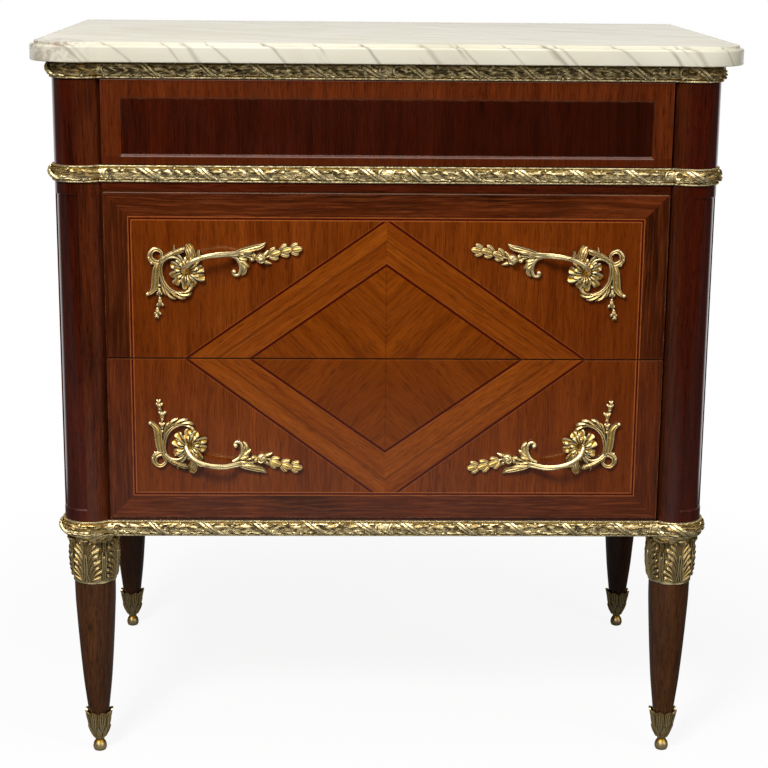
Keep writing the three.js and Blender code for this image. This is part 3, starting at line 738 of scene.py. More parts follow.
def marble_stone(name, colours, corner):
    """Warm white marble with thin slanting grey-brown veins, clouds and a stained corner."""
    made, r, bsdf, where = material_with(name, Roughness=0.24, Specular_IOR_Level=0.3)
    x, y, z = r.split(where)[0:3]
    sway = r.noise(where, 6.0, 1.5, 0.5)
    twist = r.noise(where, 45.0, 4.0, 0.6)
    slant = r.plus(r.plus(r.times(x, 0.74), r.times(z, 0.66)), y)
    slant = r.plus(slant, r.plus(r.times(sway, 0.07), r.times(twist, 0.0018)))

    def veins(pitch, width, shift):
        wave = r.math("PINGPONG", r.plus(slant, shift), pitch)
        return r.ramp(wave, 0.0, width, 1.0, 0.0, smooth=True)

    def patch(shift, scale, low, high):
        return r.ramp(r.noise(r.vector("ADD", where, (shift, 1.0, 0.0)), scale, 3.0), low, high, smooth=True)

    cloud = r.ramp(r.noise(where, 5.0, 4.0, 0.55, 0.6), 0.4, 0.7)
    base = r.mix(cloud, colours.marble, colours.marble_cloud)
    broad = r.times(veins(0.07, 0.016, 0.02), patch(3.0, 8.0, 0.42, 0.6))
    base = r.mix(r.times(broad, 0.4), base, colours.marble_grey)
    for pitch, width, shift, strength in ((0.041, 0.0034, 0.0, 0.85), (0.0213, 0.0024, 0.011, 0.65),
                                          (0.052, 0.005, 0.03, 0.6)):
        thin = r.times(veins(pitch, width, shift), patch(40 * pitch, 11.0, 0.41, 0.54))
        thin = r.times(thin, r.ramp(z, slab_high.z - 3 * mm, slab_high.z - 0.5 * mm, 1.0, 0.5))
        base = r.mix(r.times(thin, strength), base, colours.marble_vein)
    near = r.ramp(r.vector("DISTANCE", where, corner), 0.02, 0.075, 1.0, 0.0, smooth=True)
    mottle = r.ramp(r.noise(where, 90.0, 4.0, 0.65, 1.0), 0.42, 0.58)
    base = r.mix(r.times(r.times(near, mottle), 0.7), base, colours.marble_stain)
    base = r.mix(r.ramp(z, slab_high.z - 6 * mm, slab_high.z - 2.5 * mm, 0.4, 0.0), base, colours.marble_grey)
    r.fill(bsdf, Base_Color=base)
    return made


def plain_metal(name, colour_of, rough):
    made, r, bsdf, where = material_with(name, Metallic=1.0)
    cloud = r.noise(where, 300.0, 4.0)
    darker = tuple(0.5 * c for c in colour_of[:3]) + (1.0,)
    base = r.mix(cloud, colour_of, darker)
    r.fill(bsdf, Base_Color=base, Roughness=r.ramp(cloud, 0.3, 0.7, rough, rough + 0.2))
    bump(r, bsdf, r.noise(where, 1200.0, 2.0), 0.2, 0.1 * mm)
    return made


def paint(name, description, *rgb):
    """A colour that a maker would change, given as a screen shows it, from 0 to 255."""
    return bpy.props.FloatVectorProperty(
        name=name, description=description, default=tone(rgb), size=4, min=0.0, max=1.0, subtype="COLOR")


class ChestColours(bpy.types.PropertyGroup):
    """The colours of the veneers, woods, mounts and marble."""

    field_dark: paint("Field, dark", "Dark grain of the marquetry's upright field", 80, 29, 2)
    field_light: paint("Field, light", "Light grain of the marquetry's upright field", 125, 58, 12)
    field_streak: paint("Field, streaks", "Fine dark streaks and pores of the marquetry", 48, 15, 2)
    band_dark: paint("Lozenge band, dark", "Dark grain of the lozenge's band", 98, 38, 2)
    band_light: paint("Lozenge band, light", "Light grain of the lozenge's band", 142, 71, 14)
    band_heart: paint("Lozenge band, heart", "The dark streak along the lozenge's band", 74, 30, 4)
    diamond_dark: paint("Diamond, dark", "Dark grain of the matched diamond", 90, 36, 1)
    diamond_light: paint("Diamond, light", "Light grain of the matched diamond", 135, 64, 8)
    border_dark: paint("Border, dark", "Dark grain of the mitred border", 34, 10, 2)
    border_light: paint("Border, light", "Light grain of the mitred border", 94, 39, 13)
    border_flame: paint("Border, flame", "Bright flecks in the mitred border", 140, 70, 32)
    string_dark: paint("String, dark", "The dark strings", 62, 13, 2)
    string_pale: paint("String, pale", "The pale lines beside the strings", 158, 84, 38)
    # Rubbed edges: real wear, and partly painted sheen.
    rubbed_and_sheen: paint("Rubbed edges", "Edges of the fronts where the polish is rubbed thin", 176, 128, 104)
    ground_dark: paint("Ground, dark", "Dark grain of the wood behind the veneer", 96, 60, 34)
    ground_light: paint("Ground, light", "Light grain of the wood behind the veneer", 140, 98, 58)
    case_dark: paint("Case, dark", "Dark grain of the case", 32, 9, 3)
    case_light: paint("Case, light", "Light grain of the case", 88, 32, 12)
    column_dark: paint("Columns, dark", "Dark grain of the round columns", 36, 10, 4)
    column_light: paint("Columns, light", "Light grain of the round columns", 84, 25, 9)
    # The strip's lighter tone is partly painted reflection.
    stile_dark: paint("Stiles, dark", "Dark grain of the flat strip beside each column", 40, 13, 5)
    stile_light: paint("Stiles, light", "Light grain of the flat strip beside each column", 100, 43, 17)
    frieze_dark: paint("Frieze, dark", "Dark grain of the top drawer's frame", 60, 20, 5)
    frieze_light: paint("Frieze, light", "Light grain of the top drawer's frame", 106, 46, 16)
    panel_dark: paint("Frieze panel, dark", "Dark grain of the top drawer's sunk panel", 26, 6, 2)
    panel_light: paint("Frieze panel, light", "Light grain of the top drawer's sunk panel", 72, 22, 7)
    leg_dark: paint("Legs, dark", "Dark grain of the legs", 34, 16, 6)
    leg_light: paint("Legs, light", "Light grain of the legs", 88, 52, 26)
    oak_dark: paint("Oak, dark", "Dark grain of the linings and boards", 122, 86, 52)
    oak_light: paint("Oak, light", "Light grain of the linings and boards", 176, 136, 92)
    gilt_low: paint("Gilt, worn", "Gilding where it has worn", 184, 136, 50)
    gilt: paint("Gilt", "Sound gilding", 244, 196, 88)
    # Burnished edges, and painted highlight laid on the raised edges.
    gilt_high: paint("Gilt, burnished", "Gilding on rubbed edges", 255, 238, 186)
    # Dirt in the hollows, and also painted shade towards the back and under the case.
    gilt_hollow: paint("Gilt, hollows", "Dirt in the hollows of the mounts", 44, 24, 4)
    gilt_rim: paint("Gilt, rim", "How the gilding looks at a glancing angle", 130, 98, 44)
    steel: paint("Steel", "The nuts inside the drawers", 120, 112, 100)
    marble: paint("Marble", "Ground of the marble", 215, 211, 194)
    marble_cloud: paint("Marble, clouds", "Warm clouds in the marble", 203, 197, 172)
    marble_grey: paint("Marble, grey", "Broad soft veins and the marble's edge", 190, 184, 168)
    marble_vein: paint("Marble, veins", "Thin slanting veins", 124, 112, 98)
    marble_stain: paint("Marble, stain", "The mottled front corner", 132, 108, 96)


def span(name, description, value):
    """A size that a maker would change, given in millimetres."""
    return bpy.props.FloatProperty(name=name, description=description, default=value * mm, unit="LENGTH")


class ChestSizes(bpy.types.PropertyGroup):
    """The sizes of the veneers."""

    border: span("Border", "Width of the mitred border round the marquetry", 29.6)
    string: span("String", "Width of the dark strings", 2.1)
    veneer: span("Veneer", "Thickness of the veneer", 1.2)
    lozenge_side: span("Lozenge side", "From the centre to the lozenge's side corner", 231)
    lozenge_top: span("Lozenge top", "From the centre to where its upper lines would meet", 162.8)
    lozenge_foot: span("Lozenge foot", "From the centre to where its lower lines would meet", 171.9)
    diamond_side: span("Diamond side", "From the centre to the inner diamond's side corner", 157)
    diamond_top: span("Diamond top", "From the centre to the inner diamond's top", 110.5)
    diamond_foot: span("Diamond foot", "From the centre to the inner diamond's foot", 111.2)
    band_streak: span("Band streak", "How far inside the lozenge's edge the dark streak of the band runs", 21)


class finishes:
    """The finishes, made once by the stage operator and used by the pieces."""


def make_finishes(sizes, c):
    grain, edge, patina_and_highlight = wood_grain_group(), edge_wear_and_sheen_group(), patina_and_highlight_group()
    case = (c.case_dark, c.case_light)
    finishes.side = polished_wood("mahogany_side", *case, grain, edge, gloss=0.3, coat=0.05, shine=0.1)
    finishes.column = polished_wood("mahogany_column", c.column_dark, c.column_light, grain, edge,
                                    inner=(c.stile_dark, c.stile_light))
    finishes.level = polished_wood("mahogany_level", *case, grain, edge, along="X", shift=(0.3, 0, 0))
    panel = (c.panel_dark, c.panel_light, face_y + 1.2 * mm)
    finishes.frieze = polished_wood("mahogany_frieze", c.frieze_dark, c.frieze_light, grain,
                                    edge, shift=(0.8, 0, 0.4), figure=0.3, streaks=140.0, deeper=panel)
    # The legs take painted shade towards the back.
    finishes.leg = polished_wood("mahogany_leg", c.leg_dark, c.leg_light, grain, edge,
                                 shift=(2, 1, 0), gloss=0.2, coat=0.1, dim=0.6)
    oak = (c.oak_dark, c.oak_light)
    plain = {"gloss": 0.5, "coat": 0.0, "wear_and_sheen": 0.1, "streaks": 70.0}
    finishes.oak_x = polished_wood("oak_across", *oak, grain, edge, along="X", **plain)
    finishes.oak_y = polished_wood("oak_along", *oak, grain, edge, along="Y", **plain)
    finishes.oak_z = polished_wood("oak_upright", *oak, grain, edge, along="Z", **plain)
    finishes.marquetry = marquetry_wood("marquetry_fronts", grain, edge, c, sizes)
    finishes.gilt = gilt_bronze("gilt_bronze", patina_and_highlight, c)
    finishes.band = gilt_bronze("gilt_moulding", patina_and_highlight, c, reach=2.0 * mm, chased=True)
    stained_corner = (-slab_high.x + 15 * mm, column_y - 30 * mm, slab_high.z)
    finishes.marble = marble_stone("veined_marble", c, stained_corner)
    finishes.steel = plain_metal("dark_steel", c.steel, 0.35)


def eased(piece, width, angle=40, harden=False):
    """The piece's sharp edges are rounded by a narrow bevel."""
    ease = piece.modifiers.new("ease", "BEVEL")
    ease.width = width
    ease.segments = 2
    ease.limit_method = "ANGLE"
    ease.angle_limit = math.radians(angle)
    ease.harden_normals = harden


def dress(node, material, soften=0.5 * mm):
    """A plain solid keeps its shape and takes a finish, with its corners eased."""
    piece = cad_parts[node]
    piece.data.materials.clear()
    piece.data.materials.append(material)
    weld = piece.modifiers.new("weld", "WELD")
    weld.merge_threshold = 0.01 * mm
    eased(piece, soften, harden=True)


class COMMODE_OT_stage(bpy.types.Operator):
    """Add the floor, the soft studio light and the camera"""

    bl_idname = "commode.add_stage"
    bl_label = "Stage"

    def execute(self, context):
        make_finishes(context.scene.commode_sizes, context.scene.commode_colours)
        self.floor()
        self.world(context)
        self.lamps()
        self.camera(context)
        return {"FINISHED"}

    def floor(self):
        shell = Shell()
        reach = 40.0
        shell.cap([(-reach, -reach, 0), (reach, -reach, 0), (reach, reach, 0), (-reach, reach, 0)])
        made = bpy.data.materials.new("pale_floor")
        made.use_nodes = True
        r = Recipe(made.node_tree)
        made.node_tree.nodes.remove(made.node_tree.nodes["Principled BSDF"])
        matt = r.node("ShaderNodeBsdfDiffuse", {"Color": (0.8, 0.8, 0.8, 1.0)})
        glow = r.node("ShaderNodeEmission", {"Color": (1, 1, 1, 1), "Strength": 1.0})
        ray = r.node("ShaderNodeLightPath").outputs
        where = r.node("ShaderNodeTexCoord").outputs["Object"]
        x, y = r.split(where)[0:2]
        far = r.ramp(r.vector("LENGTH", where), 0.4, 1.1, 0.9, 1.0, smooth=True)
        # What the upright fronts mirror: a patch of lit floor ahead of them.
        ahead = r.times(r.ramp(y, -2.5, -1.2, 0.0, 0.33, smooth=True), r.ramp(y, -1.1, -0.4, 1.0, 0.5))
        ahead = r.times(ahead, r.ramp(x, 0.15, 0.5, 1.0, 0.3))
        ahead = r.times(ahead, r.ramp(x, -0.5, -0.3, 0.5, 1.0))
        # What the columns' rims mirror: the floor beside and behind the chest, well clear of it.
        aside = r.larger(r.less(r.absolute(x), column_x), 0.0)
        deep = r.less(y, column_y)
        apart = r.vector("LENGTH", r.join(aside, deep, 0.01))
        beyond = r.times(r.ramp(y, 0.2, 0.5), r.ramp(r.absolute(x), 0.34, 0.4))
        clear = r.larger(beyond, r.ramp(r.absolute(x), 0.5, 0.8))
        clear = r.times(clear, r.ramp(apart, 1.05, 1.25))
        behind = r.times(r.ramp(r.divided(deep, apart), 0.48, 0.72, smooth=True), clear)
        mirrored = r.larger(ahead, behind)
        # Glossy rays meet a dark floor elsewhere, and the camera sees it grow to plain white far out.
        seen = r.larger(r.times(ray["Is Camera Ray"], far),
                      r.larger(r.times(ray["Is Glossy Ray"], mirrored),
                             ray["Is Transmission Ray"]))
        hidden = r.times(ray["Is Glossy Ray"], r.less(1.0, mirrored))
        dim = r.mix(hidden, (0.3, 0.3, 0.3, 1.0), (0.005, 0.005, 0.005, 1.0))
        dim = r.mix(ray["Is Camera Ray"], dim, (0.95, 0.95, 0.95, 1.0))
        r.feed(matt.inputs["Color"], dim)
        pale = r.node("ShaderNodeMixShader", {0: seen, 1: matt.outputs[0], 2: glow.outputs[0]})
        r.feed(made.node_tree.nodes["Material Output"].inputs["Surface"], pale.outputs[0])
        floor = shell.piece("studio_floor", made)

    def world(self, context):
        world = bpy.data.worlds.new("studio")
        context.scene.world = world
        world.use_nodes = True
        r = Recipe(world.node_tree)
        ground = world.node_tree.nodes["Background"]
        ray = r.node("ShaderNodeLightPath").outputs
        facing = r.split(r.node("ShaderNodeTexCoord").outputs["Generated"])
        way_out = r.join(*facing)
        around = r.ramp(facing["Y"], 0.76, 0.92, 0.0, 1.0, smooth=True)
        above = r.ramp(facing["Z"], 0.22, 0.5, 0.0, 0.3, smooth=True)
        # Soft boxes that only mirrors see: the way to each, its rim and heart as cosines, and its strength.
        for way, rim, heart, bright in (
            ((-0.4, -0.5, 0.76), 0.78, 0.94, 2.6),
            ((0.75, -0.6, 0.35), 0.86, 0.97, 1.3),
            ((-0.2, -0.88, 0.42), 0.82, 0.95, 0.9),
            ((0.0, -0.18, 0.98), 0.93, 0.985, 7.0),
        ):
            near = r.vector("DOT_PRODUCT", way_out, tuple(Vector(way).normalized()))
            above = r.plus(above, r.ramp(near, rim, heart, 0.0, bright, smooth=True))
        around = r.times(around, r.ramp(facing["Z"], 0.1, 0.5, 1.0, 0.6))
        room = r.larger(around, above)
        soft = r.mix(ray["Is Glossy Ray"], 0.2, room, kind="FLOAT")
        seen = r.larger(ray["Is Camera Ray"], ray["Is Transmission Ray"])
        warm, white = (1.0, 0.975, 0.92, 1.0), (1.0, 1.0, 1.0, 1.0)
        r.fill(ground, Strength=r.mix(seen, soft, 1.0, kind="FLOAT"), Color=r.mix(seen, warm, white))

    def lamps(self):
        centre = Vector((0, 0, slab_high.z / 2))
        for name, spot, size, power in (
            ("key", (-0.9, -2.2, 2.4), 0.8, 82.0),
            ("fill", (2.2, -2.2, 1.5), 1.2, 31.0),
            ("over", (0.3, -0.6, 3.0), 1.6, 9.0),
        ):
            data = bpy.data.lights.new(name, "AREA")
            data.shape = "DISK"
            data.size = size
            data.energy = power
            lamp = placed(name, data)
            lamp.visible_glossy = False
            lamp.location = spot
            lamp.rotation_euler = (centre - Vector(spot)).to_track_quat("-Z", "Y").to_euler()

    def camera(self, context):
        """The photograph's viewpoint: place in the frame, tilt down, turn and roll, and focal length."""
        data = bpy.data.cameras.new("viewpoint")
        data.sensor_width = 36.0
        data.lens = 88.35
        data.clip_end = 100.0
        camera = placed("viewpoint", data)
        eye = Vector((-55.14 * mm, face_y - 2129.5 * mm, 986.1 * mm))
        down, turn, roll = 0.238125, -0.025046, 0.00924
        camera.matrix_world = (
            Matrix.Translation(eye)
            @ Matrix.Rotation(turn, 4, "Z")
            @ Matrix.Rotation(math.pi / 2 - down, 4, "X")
            @ Matrix.Rotation(roll, 4, "Z")
        )
        context.scene.camera = camera
        context.scene.view_settings.view_transform = "Standard"


class COMMODE_OT_marble(bpy.types.Operator):
    """Add the marble top with its stepped and rounded edge"""

    bl_idname = "commode.add_marble"
    bl_label = "Marble top"

    def outline(self, inset):
        radius = column_y - slab_low.y - inset
        side_reach, front_reach = 32 * mm, 25 * mm
        edge_x = side_x + side_reach - inset
        edge_y = face_y - front_reach + inset
        back = slab_high.y - inset
        start = -math.acos((column_y - edge_y) / radius)
        end = math.pi - math.asin((edge_x - column_x) / radius)
        turn = np.linspace(start, end, 64)
        lobe = np.column_stack([column_x + radius * np.sin(turn), column_y - radius * np.cos(turn)])
        run = np.linspace(lobe[-1][1], back, 24)[1:]
        side = np.column_stack([np.full_like(run, edge_x), run])
        right = np.vstack([lobe, side])
        left = right[::-1] * (-1, 1)
        return np.vstack([right, left])

    def execute(self, context):
        rise = slab_high.z - slab_low.z
        step, lip = 5 * mm, 3.4 * mm
        arris, round_over, soft = 1.4 * mm, 3.0 * mm, 1.0 * mm
        levels = []
        for a in np.linspace(0, math.pi / 2, 5):
            levels.append((arris * (1 - math.sin(a)), arris * (1 - math.cos(a))))
        for a in np.linspace(0, math.pi / 2, 8):
            levels.append((round_over * (1 - math.cos(a)), rise - lip - round_over * (1 - math.sin(a))))
        levels.append((step - 0.4 * mm, rise - lip + 0.15 * mm))
        for a in np.linspace(0, math.pi / 2, 5):
            levels.append((step + soft * (1 - math.cos(a)), rise - soft * (1 - math.sin(a))))
        shell = Shell()
        rings = [np.column_stack([self.outline(i), np.full(len(self.outline(i)), slab_low.z + z)])
                 for i, z in levels]
        shell.tube(rings)
        seat(shell.piece("marble_slab", finishes.marble), "case", "marble", "marble_top")
        return {"FINISHED"}


class COMMODE_OT_case(bpy.types.Operator):
    """Add the round corner columns and finish the rest of the case"""

    bl_idname = "commode.add_case"
    bl_label = "Case"

    def column(self, side, sign):
        sink, lip = 2 * mm, 0.5 * mm
        foot, head = base_high.z + 11.4 * mm, rail_low.z - 4 * mm
        stile = opening_x - column_x
        meet = math.asin(stile / column_radius)
        leave = math.pi - math.asin((side_x - column_x) / column_radius)
        panel_end = math.radians(90)
        lip_turn = lip / column_radius
        turns = [meet - meet * k / 14 for k in range(15)]
        cut = [0.0, lip_turn] + [lip_turn + (panel_end - 2 * lip_turn) * k / 48 for k in range(1, 49)]
        cut += [panel_end]
        turns = turns[:-1] + cut + [panel_end + (leave - panel_end) * k / 3 for k in range(1, 4)]
        z0, z1 = column_low.z, column_high.z
        rings = []
        for z, sunk in ((z0, 0), (foot - lip, 0), (foot, 1), (head, 1), (head + lip, 0), (z1, 0)):
            ring = [(opening_x - column_x, column_high.y - column_y)]
            for a in turns:
                inside = sunk and 0.5 * lip_turn < a < panel_end - 0.5 * lip_turn
                r = column_radius - (sink if inside else 0)
                ring.append((r * math.sin(a), -r * math.cos(a)))
            ring.append((side_x - column_x, column_high.y - column_y))
            rings.append([(sign * (column_x + u), column_y + v, z) for u, v in ring])
        shell = Shell()
        shell.tube(rings)
        piece = shell.piece("corner_column_" + side, finishes.column, sharp=30)
        eased(piece, 0.4 * mm, angle=35)
        seat(piece, "case", "mahogany", "front_column_" + side)

    def execute(self, context):
        for side, sign in sides:
            self.column(side, sign)
            dress("rear_post_" + side, finishes.side, 0.8 * mm)
            dress("side_panel_" + side, finishes.side, 0.3 * mm)
        for rail in ("base_rail", "middle_rail", "top_rail"):
            dress(rail, finishes.level)
        dress("back_panel", finishes.oak_z, 0.3 * mm)
        for board in ("bottom_board", "middle_board", "dust_board", "top_board"):
            dress(board, finishes.oak_x, 0.3 * mm)
        return {"FINISHED"}


class COMMODE_OT_drawers(bpy.types.Operator):
    """Finish the three drawers, with their veneered fronts"""

    bl_idname = "commode.add_drawers"
    bl_label = "Drawers"

    def frieze(self):
        """The top drawer's front, with a sunk panel inside a sloped and stepped edge."""
        low, high = frieze_low, frieze_high
        stile, head, foot, deep, slope = 21 * mm, 20 * mm, 9.5 * mm, 2.0 * mm, 2.4 * mm
        ease = 0.7 * mm

        def ring(inset, y, corner=0.0):
            x0, x1 = low.x + inset[0], high.x - inset[0]
            z0, z1 = low.z + inset[1], high.z - inset[2]
            turn = np.linspace(0, math.pi / 2, 7)
            points = []
            for cx, cz, start in ((x1, z1, 0), (x0, z1, 1), (x0, z0, 2), (x1, z0, 3)):
                sx, sz = (1 if cx == x1 else -1), (1 if cz == z1 else -1)
                mid_x, mid_z = cx - sx * corner, cz - sz * corner
                for a in turn + start * math.pi / 2:
                    points.append((mid_x + corner * math.cos(a), y, mid_z + corner * math.sin(a)))
            return points

        def level(reach, y, corner=0.0):
            return ring((stile + reach, foot + reach, head + reach), y, corner)

        shell = Shell()
        # How far each ring lies inside the front's edge, then inside the panel's, how deep and how rounded.
        outer = ((0, high.y - low.y), (0, ease), (0.3 * ease, 0.3 * ease), (ease, 0), (1.5 * ease, 0))
        edge = [ring((k, k, k), low.y + y) for k, y in outer]
        inner = [
            level(-1.4 * mm, low.y, 1.5 * mm), level(-0.8 * mm, low.y, 1.5 * mm),
            level(-0.4 * mm, low.y + 0.15 * mm, 1.5 * mm), level(0.2 * mm, low.y + 0.7 * mm, 1.5 * mm),
            level(1.1 * mm, low.y + 0.8 * mm, 1.2 * mm), level(slope, low.y + deep, 0.6 * mm),
        ]
        shell.tube(edge + inner)
        seat(shell.piece("panelled_frieze_front", finishes.frieze, sharp=25), "frieze_drawer",
            "frieze_veneer", "frieze_drawer_front")

    def execute(self, context):
        self.frieze()
        for drawer in deep_drawers:
            dress(drawer + "_drawer_front", finishes.marquetry, 0.9 * mm)
        for drawer in ("frieze", *deep_drawers):
            dress(drawer + "_drawer_back", finishes.oak_x)
            dress(drawer + "_drawer_bottom", finishes.oak_x, 0.3 * mm)
            for side, _ in sides:
                dress(f"{drawer}_drawer_side_{side}", finishes.oak_y)
        return {"FINISHED"}


def joined(shell_piece, mesh):
    """A piece takes another mesh's shape in as well."""
    work = bmesh.new()
    work.from_mesh(shell_piece.data)
    work.from_mesh(mesh)
    bmesh.ops.recalc_face_normals(work, faces=work.faces)
    work.to_mesh(shell_piece.data)
    work.free()
    shell_piece.data.shade_smooth()
    shell_piece.data.set_sharp_from_angle(angle=math.radians(40))


def as_laid(points):
    """Ground points kept where they are, for a motif that a tree bends later."""
    return np.asarray(points)


class COMMODE_OT_mouldings(bpy.types.Operator):
    """Add the gilt mouldings, half rounds with laurel, berries and ribbons between two fillets"""

    bl_idname = "commode.add_mouldings"
    bl_label = "Mouldings"

    def section(self):
        """How far the core stands out and its height, both from its seat, in millimetres."""
        tall, fillet, lip = 19.2, 2.2, 2.9
        middle, core_out, core_high = tall / 2, 3.6, 6.0
        foot = [(0.3, 0.0), (lip - 0.8, 0.0), (lip - 0.2, 0.35), (lip, 0.5 * fillet),
            (lip - 0.2, fillet - 0.35), (lip - 0.9, fillet), (1.3, fillet + 0.5)]
        arc = [(1.3 + core_out * math.sin(a), middle - core_high * math.cos(a))
               for a in np.linspace(0.12, math.pi - 0.12, 13)]
        head = [(n, tall - z) for n, z in reversed(foot)]
        return foot + arc + head

    def leaf(self):
        """A laurel leaf: a low pointed mound with a crease along its middle."""
        shell = Shell()
        rows = []
        for s in np.linspace(0, 1, 7):
            half = 1.4 * math.sin(math.pi * s**0.8) ** 0.75 * (1 - 0.25 * s) + 0.02
            crown = 1.9 * math.sin(math.pi * min(1.0, 0.12 + 0.85 * s)) ** 0.6
            x = -6 + 12.6 * s
            rows.append([(x, half * q, z) for q, z in (
                (-1, -0.5), (-0.8, 0.5 * crown), (-0.45, crown), (0, 0.4 * crown), (0.45, crown),
                (0.8, 0.5 * crown), (1, -0.5))])
        shell.tube(np.array(rows) * mm)
        return shell.piece("laurel_leaf", finishes.band, sharp=60)

    def berry(self):
        cast = Relief(as_laid)
        cast.ball((0, 0, 1.7), 1.6, around=8, rise=5)
        return cast.piece("laurel_berry", finishes.band)

    def ribbon(self):
        """Two strands that cross the moulding at a slant."""
        cast = Relief(as_laid)
        for k, wide in ((-2.9, 1.5), (2.6, 1.7)):
            path = [(k - 13, 8.0, 0.6), (k - 5.6, 3.2, 1.9), (k + 2, -1.4, 1.9), (k + 12, -8.0, 0.6)]
            cast.rope(path, wide, steps=11, around=6)
        return cast.piece("laurel_ribbon", finishes.band, sharp=60)

    def curl(self):
        """A leaf end that rolls back at the ends of a length."""
        cast = Relief(as_laid)
        cast.rope([(7, 5.6, 0.4), (2, 6.0, 0.9), (-1.5, 3, 1.2), (-1.5, -1.5, 1.2), (2, -3, 1.0)],
             [(0, 0.7), (0.5, 1.3), (1, 1.6)], steps=12, around=6)
        return cast.piece("laurel_curl", finishes.band, sharp=60)

    def front_path(self):
        reach = column_x - meet_x - seam
        return [(-reach, base_low.y), (reach, base_low.y)], [(0, -1), (0, -1)]

    def return_path(self, sign):
        """Round the column and back along the side, with the normal of each point."""
        start = -math.asin((meet_x - seam) / column_radius)
        corner = math.pi - math.asin((side_x - column_x) / column_radius)
        turns = np.linspace(start, corner - math.radians(8), 40)
        spots = [(column_x + column_radius * math.sin(a), column_y - column_radius * math.cos(a))
            for a in turns]
        aims = [(math.sin(a), -math.cos(a)) for a in turns]
        last = (math.sin(corner), -math.cos(corner))
        scale = 1 + last[0]
        spots.append((side_x, column_y - column_radius * math.cos(corner)))
        aims.append(((last[0] + 1) / scale, last[1] / scale))
        for y in np.linspace(spots[-1][1] + 9 * mm, back_y, 8):
            spots.append((side_x, y))
            aims.append((1, 0))
        if sign < 0:
            spots = [(-x, y) for x, y in reversed(spots)]
            aims = [(-x, y) for x, y in reversed(aims)]
        return spots, aims

    def length(self, name, spots, aims, low, starts):
        shell = Shell()
        section = [(n * mm, z * mm + low) for n, z in self.section()]
        shell.tube([[(x + a * n, y + b * n, z) for n, z in section] for (x, y), (a, b) in zip(spots, aims)])
        piece = shell.piece(name, finishes.band, sharp=50)
        for start, stretch, seed in starts:
            mesh = bpy.data.meshes.new("path")
            line = [(x, y, low) for x, y in stretch]
            mesh.from_pydata(line, [(i, i + 1) for i in range(len(line) - 1)], [])
            host = placed("path", mesh)
            extra = grown(host, self.tree, Ribbon_Start=start, Seed=seed, Material=finishes.band,
                **self.motifs)
            joined(piece, extra)
        return piece

    def execute(self, context):
        self.tree = bend_tree()
        self.motifs = {"Leaf": self.leaf(), "Berry": self.berry(), "Ribbon": self.ribbon(),
            "Curl": self.curl()}
        # Each stretch has the place of its first ribbon, its path and its seed.
        for k, run in enumerate(runs):
            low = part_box(run + "_moulding_front")[0].z
            spots, aims = self.front_path()
            middle = (0.0, spots[0][1])
            halves = [(60 * mm, [spots[0], middle], 5 + k), (34 * mm, [middle, spots[1]], 9 + k)]
            piece = self.length(run + "_laurel_front", spots, aims, low, halves)
            seat(piece, "case", "gilt_bronze", run + "_moulding_front")
            for side, sign in sides:
                spots, aims = self.return_path(sign)
                piece = self.length(f"{run}_laurel_{side}", spots, aims, low,
                    [(30 * mm, spots, 20 + k + sign)])
                seat(piece, "case", "gilt_bronze", f"{run}_moulding_{side}")
        for motif in self.motifs.values():
            bpy.data.objects.remove(motif)
        return {"FINISHED"}


